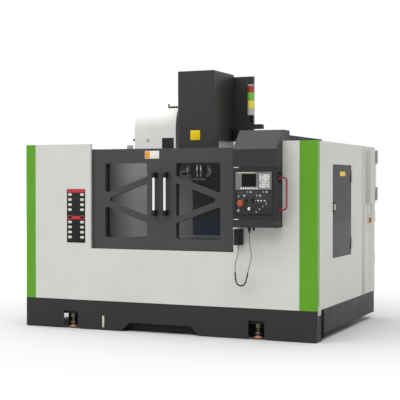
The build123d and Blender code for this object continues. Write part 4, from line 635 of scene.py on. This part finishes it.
# Side door: a cover on its pull and white leaves on its hinge
pull_low, pull_high = (1.5985, back(0.5552), 1.2372), (1.6148, back(0.5788), 1.3008)
brick("side_pull_cover", "side_door", pull_low, pull_high, GREY, 0.002)
for place, low in (("low", 0.8251), ("high", 1.5091)):
    corner = (1.5992, back(1.1745), low)
    brick(f"side_leaf_{place}", "side_door", corner, (1.6073, back(1.1956), low + 0.061), WHITE, 0.0008)

# Display: a dark screen behind a raised rim, the pale line over it and a white keyboard plate
screen_y = CONSOLE_Y + 0.006 - 0.0004 - 0.012
for name, place, size, mat, radius in (
    ("screen_pane", (0.9925, screen_y + 0.004, 1.5305), (0.147, 0.121, PLATE), SCREEN, 0.004),
    ("display_line", (0.960, screen_y, 1.6015), (0.180, 0.006, 0.0008), YELLOW_PALE, 0.002),
    ("keyboard_plate", (1.1500, screen_y, 1.5195), (0.108, 0.133, PLATE), KEY_WHITE, 0.004),
):
    slab(name, "operator_unit", place, size, "-Y", mat, radius)
KEY_SIDE = 0.015
KEY_CAP = (0.0145, 0.0145, 0.001)


def steps(low, high, pitch):
    """Equal places from low to high."""
    count = round((high - low) / pitch)
    return [low + (high - low) * (i + 0.5) / count for i in range(count)]


def key_places(x, z, columns, rows, y):
    """Middles of a field of square keys, column by column."""
    pitch_x = (x[1] - x[0] - KEY_SIDE) / (columns - 1)
    pitch_z = (z[1] - z[0] - KEY_SIDE) / max(rows - 1, 1)
    half = KEY_SIDE / 2
    return [
        (x[0] + half + a * pitch_x, y, z[0] + half + b * pitch_z) for a in range(columns) for b in range(rows)
    ]


def key_caps(name, places, kinds):
    """Key caps of several colours: each pattern marks with an x the keys in a cycle that have its colour."""
    for shade, mat in sorted(kinds.items(), key=lambda kind: kind[0]):
        chosen = [place for i, place in enumerate(places) if shade[(i * 7 + i // 5) % len(shade)] == "x"]
        if chosen:
            slabs(f"{name}_{mat.name}", "operator_unit", chosen, KEY_CAP, "-Y", mat)


face = screen_y - 0.003
keyboard = key_places((1.102, 1.198), (1.458, 1.581), 5, 6, face)
key_caps("keyboard", keyboard, {"xxxx.": KEY_PALE, "....x": KEY_GREY})
soft_keys = key_places((0.908, 1.082), (1.446, 1.461), 8, 1, face)
slabs("soft_keys", "operator_unit", soft_keys, KEY_CAP, "-Y", KEY_WHITE)

# Operator panel: a black margin round a dark field, keys in rows, pale bars, knob caps and a ringed stop button
slab("panel_margin", "operator_unit", (1.039, CONSOLE_Y, 1.3195), (0.376, 0.241, FILM), "-Y", PLATE_BLACK, 0.004)
slab("panel_field", "operator_unit", (1.049, CONSOLE_Y - FILM, 1.3255), (0.342, 0.221, FILM), "-Y", PANEL, 0.004)
edges = [(x, CONSOLE_Y, 1.5250) for x in (0.8545, 1.2235)]
slabs("panel_edges", "operator_unit", edges, (0.007, 0.170, 0.0030), "-Y", PLATE_BLACK, 0.002)
top_edge = (1.039, CONSOLE_Y, 1.6130)
slab("panel_top_edge", "operator_unit", top_edge, (0.376, 0.007, 0.0030), "-Y", PLATE_BLACK, 0.002)
face = CONSOLE_Y - 0.003
upper_keys = {"x.....": KEY_PALE, ".xx.x.": KEY_DARK, "...x.x": KEY_GREY}
key_caps("upper_key", key_places((0.938, 1.208), (1.378, 1.428), 9, 2, face), upper_keys)
lower_keys = {"x........": KEY_GREY, ".xx.x.xxx": KEY_DARK}
key_caps("lower_key", key_places((1.058, 1.208), (1.226, 1.318), 5, 4, face), lower_keys)
bars = [(1.061 + 0.025 * place, CONSOLE_Y - PLATE, 1.3385) for place in range(5)]
slabs("panel_bars", "operator_unit", bars, (0.021, 0.013, 0.0010), "-Y", KEY_WHITE)
ring = ((0.0316, 0), (0.0372, 0), (0.0372, 0.003), (0.0358, 0.004), (0.0316, 0.004))
lathe("stop_ring", "operator_unit", (0.909, CONSOLE_Y - PLATE, 1.313), "-Y", ring, RING_YELLOW, 48)
cap = ((0.030, 0), (0.0305, 0.004), (0.0295, 0.013), (0.0265, 0.0175), (0.020, 0.0195), (0, 0.0205))
lathe("stop_cap", "stop_button", (0.909, CONSOLE_Y - 0.0105, 1.313), "-Y", cap, RED, 48)
profile = ((0.0155, 0), (0.0155, 0.004), (0.0138, 0.006), (0.0134, 0.017), (0.012, 0.0185), (0, 0.0185))
knobs = (("a", 0.996, 1.262, KEY_WHITE), ("b", 0.888, 1.244, KEY_GREY), ("c", 0.963, 1.345, BLACK))
for name, x, z, mat in knobs:
    lathe(f"knob_cap_{name}", "operator_unit", (x, CONSOLE_Y, z), "-Y", profile, mat)
slab("unit_latch", "operator_unit", (1.262, back(-0.084), 1.560), (0.066, 0.100, 0.003), "+X", LATCH_AND_SHADE_BLACK, 0.003)
caps = [(0.862, CONSOLE_Y, z) for z in (1.1602, 1.6518)]
slabs("hinge_caps", "machine", caps, (0.050, 0.009, 0.002), "-Y", GREY, 0.004)
gland = ((0, 0), (0.004, 0), (0.009, 0.002), (0.011, 0.024), (0.016, 0.026), (0.016, 0.036), (0, 0.036))
lathe("second_gland", "machine", (1.004, back(-0.088), 1.050), "+Z", gland, BLACK)

# Levelling feet: copper-coloured pads under dark bolts
feet = (
    (MID_X - 1.026, 0.062), (MID_X + 0.035, 0.180), (MID_X + 1.026, 0.062), (MID_X - 0.310, 1.150),
    (MID_X + 0.310, 1.150), (MID_X - 1.026, 1.975), (MID_X + 1.026, 1.975),
)
pad = (
    (0, 0), (0.032, 0), (0.037, 0.004), (0.039, 0.011), (0.037, 0.019), (0.031, 0.027), (0.021, 0.0325),
    (0, 0.034),
)
bolt = (
    (0, 0), (0.018, 0), (0.018, 0.012), (0.034, 0.014), (0.036, 0.018), (0.036, 0.034), (0.034, 0.038),
    (0.019, 0.040), (0.019, 0.046), (0.021, 0.049), (0.019, 0.052), (0.021, 0.055), (0.019, 0.058),
    (0.021, 0.061), (0.019, 0.064), (0.021, 0.067), (0.019, 0.070), (0.030, 0.072), (0.031, 0.078),
    (0.031, 0.108), (0.029, 0.1155), (0, 0.1155),
)
for place, (x, depth) in enumerate(feet):
    pad_piece = lathe(f"foot_pad_{place}", "machine", (x, back(depth), 0), "+Z", pad, COPPER, 40)
    lathe(f"foot_bolt_{place}", "machine", (x, back(depth), 0.0335), "+Z", bolt, BOLT, 24)
    if place == 0:
        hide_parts("levelling_feet")

# Level gauge tube, a black plate of painted shade for the gap behind the corner of the skirt, and the tab under
# the post
slab("gauge_tube", "machine", (-0.672, back(-0.0002), 0.0885), (0.022, 0.120, 0.0020), "-Y", TUBE, 0.011)
slab("skirt_gap_shade", "machine", (1.6002, back(0.196), 0.1370), (0.110, 0.216, 0.0012), "+X", LATCH_AND_SHADE_BLACK, 0.002)
slab("post_tab", "machine", (1.6002, back(0.093), 0.2960), (0.096, 0.086, 0.0012), "+X", GREY, 0.004)

# Spindle nose: a ring painted dark for the shade inside the enclosure, with bright coolant nozzles round it
nose = (
    (0.094, 0), (0.0975, 0.002), (0.0975, 0.030), (0.0955, 0.034), (0.0955, 0.050), (0.0975, 0.054),
    (0.0975, 0.138), (0.094, 0.140),
)
lathe("nose_ring", "head", (MID_X, MID_Y, 1.560), "+Z", nose, CAST_IN_SHADE, 72)
for place, degrees in enumerate((282, 300, 341, 50, 130, 215)):
    angle = math.radians(degrees)
    outward = Vector((math.cos(angle), math.sin(angle), 0))
    root = Vector((MID_X, MID_Y, 0)) + outward * 0.122
    route = ((0, 1.699), (0, 1.672), (0.014, 1.640), (0.008, 1.606), (-0.014, 1.578))
    points = [root + outward * away + Vector((0, 0, z)) for away, z in route]
    pipe(f"coolant_nozzle_{place}", "head", points, 0.0085, BAR)

# A strip of small pale squares down the way covers, one part on each
PITCH_X, PITCH_Z = 0.030, 0.028
covers = (("upper_way_cover", "head", 1.07, 1.70), ("lower_way_cover", "machine", 0.78, 1.07))
for node, body, low, high in covers:
    low_corner, high_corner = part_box(node)
    low = max(low, low_corner[2] + 0.02)
    high = min(high, high_corner[2] - 0.02)
    rows = int((high - low) / PITCH_Z)
    columns = [-0.366 + PITCH_X * a for a in range(3)]
    places = [(x, low_corner[1], high - 0.014 - PITCH_Z * b) for x in columns for b in range(rows)]
    slabs(f"{node}_squares", body, places, (0.016, 0.016, PLATE), "-Y", PLATE_GREY_DARK, 0.002)


# White guard behind the work area: two wings beside the column, kept under the tops of the side panels
SHEET = 0.003  # thickness of the guard's sheets


def sheet(name, outline, depth, mat):
    """A flat sheet with a given outline in X and Z, seen from the front."""
    bm = bmesh.new()
    front, rear = [[bm.verts.new((x, back(y), z)) for x, z in outline] for y in (depth, depth + SHEET)]
    bm.faces.new(front)
    bm.faces.new(list(reversed(rear)))
    for i in range(len(outline)):
        j = (i + 1) % len(outline)
        bm.faces.new((front[i], rear[i], rear[j], front[j]))
    return mesh_piece(name, bm, "machine", mat)


GUARD_DEPTH = 1.620
GUARD_SIDE = 1.570  # both outer edges, from the middle
GUARD_LOW, WING_TOP, GUARD_HIGH = 0.700, 1.900, 1.968
GEARBOX_LOW = 1.600  # the left wing steps down round the changer's gearbox
LEFT_EDGE, RIGHT_EDGE = -0.3584, 0.3024  # the edges beside the column
left_wing = (
    (-GUARD_SIDE, GUARD_LOW), (LEFT_EDGE, GUARD_LOW), (LEFT_EDGE, GEARBOX_LOW), (-0.523, GEARBOX_LOW),
    (-0.523, 1.780), (-0.862, 1.780), (-0.862, WING_TOP), (-GUARD_SIDE, WING_TOP),
)
right_wing = (
    (RIGHT_EDGE, GUARD_LOW), (GUARD_SIDE, GUARD_LOW), (GUARD_SIDE, WING_TOP), (0.956, WING_TOP),
    (0.956, GUARD_HIGH), (RIGHT_EDGE, GUARD_HIGH),
)
guard_left = sheet("guard_left", left_wing, GUARD_DEPTH, GUARD)
sheet("guard_right", right_wing, GUARD_DEPTH, GUARD)
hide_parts("rear_guard")
for name, x, high in (("left", (-0.3614, LEFT_EDGE), GEARBOX_LOW), ("right", (RIGHT_EDGE, 0.3054), GUARD_HIGH)):
    low_corner, high_corner = (x[0], back(1.6232), GUARD_LOW), (x[1], back(1.760), high)
    brick(f"guard_flange_{name}", "machine", low_corner, high_corner, GUARD, 0.001)
# A black sheet of painted shade behind the guard's gap by the changer's gearbox
backing = ((-0.530, 1.586), (-0.362, 1.586), (-0.362, 1.638), (-0.530, 1.638))
sheet("changer_gap_shade", backing, 1.6245, LATCH_AND_SHADE_BLACK)

# Fittings above the roof line
brick("head_fitting", "head", (0.1845, back(1.400), 2.028), (0.226, back(1.330), 2.090), BLACK, 0.008)
hose = ((0.206, 1.366, 2.040), (0.207, 1.370, 2.018), (0.214, 1.378, 1.995), (0.226, 1.388, 1.972))
pipe("head_hose", "head", placed(hose), 0.015, BLACK)
LINK_DEPTH = 0.905
link = (
    (-0.241, LINK_DEPTH, 2.329), (-0.290, LINK_DEPTH, 2.329), (-0.340, LINK_DEPTH, 2.328),
    (-0.358, LINK_DEPTH, 2.330), (-0.362, LINK_DEPTH, 2.348), (-0.352, LINK_DEPTH, 2.366),
)
pipe("head_link", "head", placed(link), 0.009, BOLT)
bead = ((0, 0), (0.010, 0.002), (0.0145, 0.008), (0.0145, 0.014), (0.010, 0.020), (0, 0.022))
for place in range(4):
    centre = (-0.256 - 0.028 * place, back(LINK_DEPTH), 2.329)
    lathe(f"head_link_bead_{place}", "head", centre, "-X", bead, BOLT, 20)
knob = ((0, 0), (0.007, 0), (0.007, 0.008), (0.012, 0.010), (0.013, 0.020), (0.009, 0.024), (0, 0.025))
lathe("magazine_knob", "machine", (-0.822, back(1.010), 1.985), "-X", knob, BLACK)
boss = ((0, 0), (0.019, 0), (0.019, 0.002), (0.012, 0.004), (0.012, 0.007), (0, 0.007))
lathe("magazine_bolt", "machine", (-0.660, back(1.000), 1.982), "-Y", boss, GREY)
slab("rail_bracket", "machine", (-0.404, back(0.084), 1.815), (0.070, 0.150, 0.0015), "-Y", PANEL_PALE, 0.004)

# Darker strips down the cabinet's side, the upper one a plate of painted shade for a recess, then the main switch
# plates, with a black band of painted shadow along the top of the grey plate, under the recess
for name, x, depth, z, size, mat, radius in (
    ("cabinet_strip", 1.6001, 1.697, 1.1015, (0.150, 1.603, 0.0008), STRIP, 0.001),
    ("cabinet_recess_shade", 1.6001, 1.8785, 1.5725, (0.212, 0.589, 0.0008), RECESS_SHADE, 0.002),
    ("switch_plate", 1.6005, 1.936, 1.099, (0.150, 0.092, PLATE), ORANGE, 0.004),
    ("cabinet_plate", 1.6005, 1.944, 1.2075, (0.168, 0.130, PLATE), PANEL_PALE, 0.004),
    ("cabinet_plate_shadow", 1.6017, 1.944, 1.263, (0.168, 0.020, 0.0010), PLATE_BLACK, 0.004),
):
    slab(name, "machine", (x, back(depth), z), size, "+X", mat, radius)

# Louvres of the cooler, on the side that the camera sees
louvre_y = back(2.3375)
fields = ((1.312, 1.461), (1.735, 1.869))
louvres = [(1.578, louvre_y, z) for low, high in fields for z in steps(low, high, 0.0165)]
slabs("cooler_louvres", "cabinet_door", louvres, (0.095, 0.009, 0.0016), "+X", KEY_GREY, 0.004)
grilles = [(1.5778, louvre_y, z) for z in (1.3865, 1.802)]
slabs("cooler_grilles", "cabinet_door", grilles, (0.105, 0.150, 0.0008), "+X", PLATE_GREY_DARK, 0.004)


# Floor and light
def seen_rays(tree):
    """One for the rays that show the background: from the camera, off gloss and through glass."""
    path = tree.nodes.new("ShaderNodeLightPath")
    seen = path.outputs["Is Camera Ray"]
    for ray in ("Is Glossy Ray", "Is Transmission Ray"):
        either = tree.nodes.new("ShaderNodeMath")
        either.operation = "MAXIMUM"
        tree.links.new(seen, either.inputs[0])
        tree.links.new(path.outputs[ray], either.inputs[1])
        seen = either.outputs["Value"]
    return seen


FLOOR_REACH = 30
corners = [(x * FLOOR_REACH, y * FLOOR_REACH, 0) for x, y in ((-1, -1), (1, -1), (1, 1), (-1, 1))]
floor_mesh = bpy.data.meshes.new("floor")
floor_mesh.from_pydata(corners, [], [(0, 1, 2, 3)])
floor = in_scene("floor", floor_mesh)
floor_mat, floor_tree, floor_bsdf = new_material("floor_paint")
tint(floor_tree, floor_bsdf, srgb(190, 190, 190), 0.01, noise(floor_tree, 0.7))
paint = floor_bsdf.inputs["Base Color"].links[0].from_socket
# The rays that show the background see a paler floor, with painted shade that darkens it the nearer it is to the
# object's middle
lift = floor_tree.nodes.new("ShaderNodeMixRGB")
place = floor_tree.nodes.new("ShaderNodeTexCoord")
reach = floor_tree.nodes.new("ShaderNodeVectorMath")
reach.operation = "LENGTH"
floor_tree.links.new(place.outputs["Object"], reach.inputs[0])
shade_fade = floor_tree.nodes.new("ShaderNodeMapRange")
shade_fade.inputs["From Min"].default_value = 2.0
shade_fade.inputs["From Max"].default_value = 7.0
floor_tree.links.new(reach.outputs["Value"], shade_fade.inputs["Value"])
shade = floor_tree.nodes.new("ShaderNodeMixRGB")
shade.inputs["Color1"].default_value = srgb(214, 214, 214)
shade.inputs["Color2"].default_value = srgb(236, 236, 236)
floor_tree.links.new(shade_fade.outputs["Result"], shade.inputs["Fac"])
floor_tree.links.new(shade.outputs["Color"], lift.inputs["Color2"])
floor_tree.links.new(seen_rays(floor_tree), lift.inputs["Fac"])
floor_tree.links.new(paint, lift.inputs["Color1"])
floor_tree.links.new(lift.outputs["Color"], floor_bsdf.inputs["Base Color"])
floor_bsdf.inputs["Roughness"].default_value = 0.9
floor_bsdf.inputs["Specular IOR Level"].default_value = 0.0
floor_mesh.materials.append(floor_mat)

# The world lights the object dimly, and shows white behind it
world = bpy.data.worlds.new("world")
scene.world = world
world.use_nodes = True
tree = world.node_tree
background = tree.nodes["Background"]
background.inputs["Color"].default_value = (1, 1, 1, 1)
background.inputs["Strength"].default_value = 0.36
shown = tree.nodes.new("ShaderNodeBackground")
shown.inputs["Color"].default_value = (1, 1, 1, 1)
shown.inputs["Strength"].default_value = 1.0
mix = tree.nodes.new("ShaderNodeMixShader")
tree.links.new(seen_rays(tree), mix.inputs["Fac"])
tree.links.new(background.outputs["Background"], mix.inputs[1])
tree.links.new(shown.outputs["Background"], mix.inputs[2])
tree.links.new(mix.outputs["Shader"], tree.nodes["World Output"].inputs["Surface"])


def sun(name, strength, direction, angle):
    """A far lamp that shines along a direction, as wide as an angle in degrees."""
    data = bpy.data.lights.new(name, "SUN")
    data.energy = strength
    data.angle = math.radians(angle)
    in_scene(name, data).rotation_euler = Vector(direction).to_track_quat("-Z", "Y").to_euler()


sun("key", 3.3, (0.20, 0.24, -1.0), 100)
sun("front", 0.12, (0.30, 0.90, -0.30), 60)
sun("fill", 0.25, (-0.92, 0.15, -0.15), 50)

scene.view_settings.view_transform = "Standard"
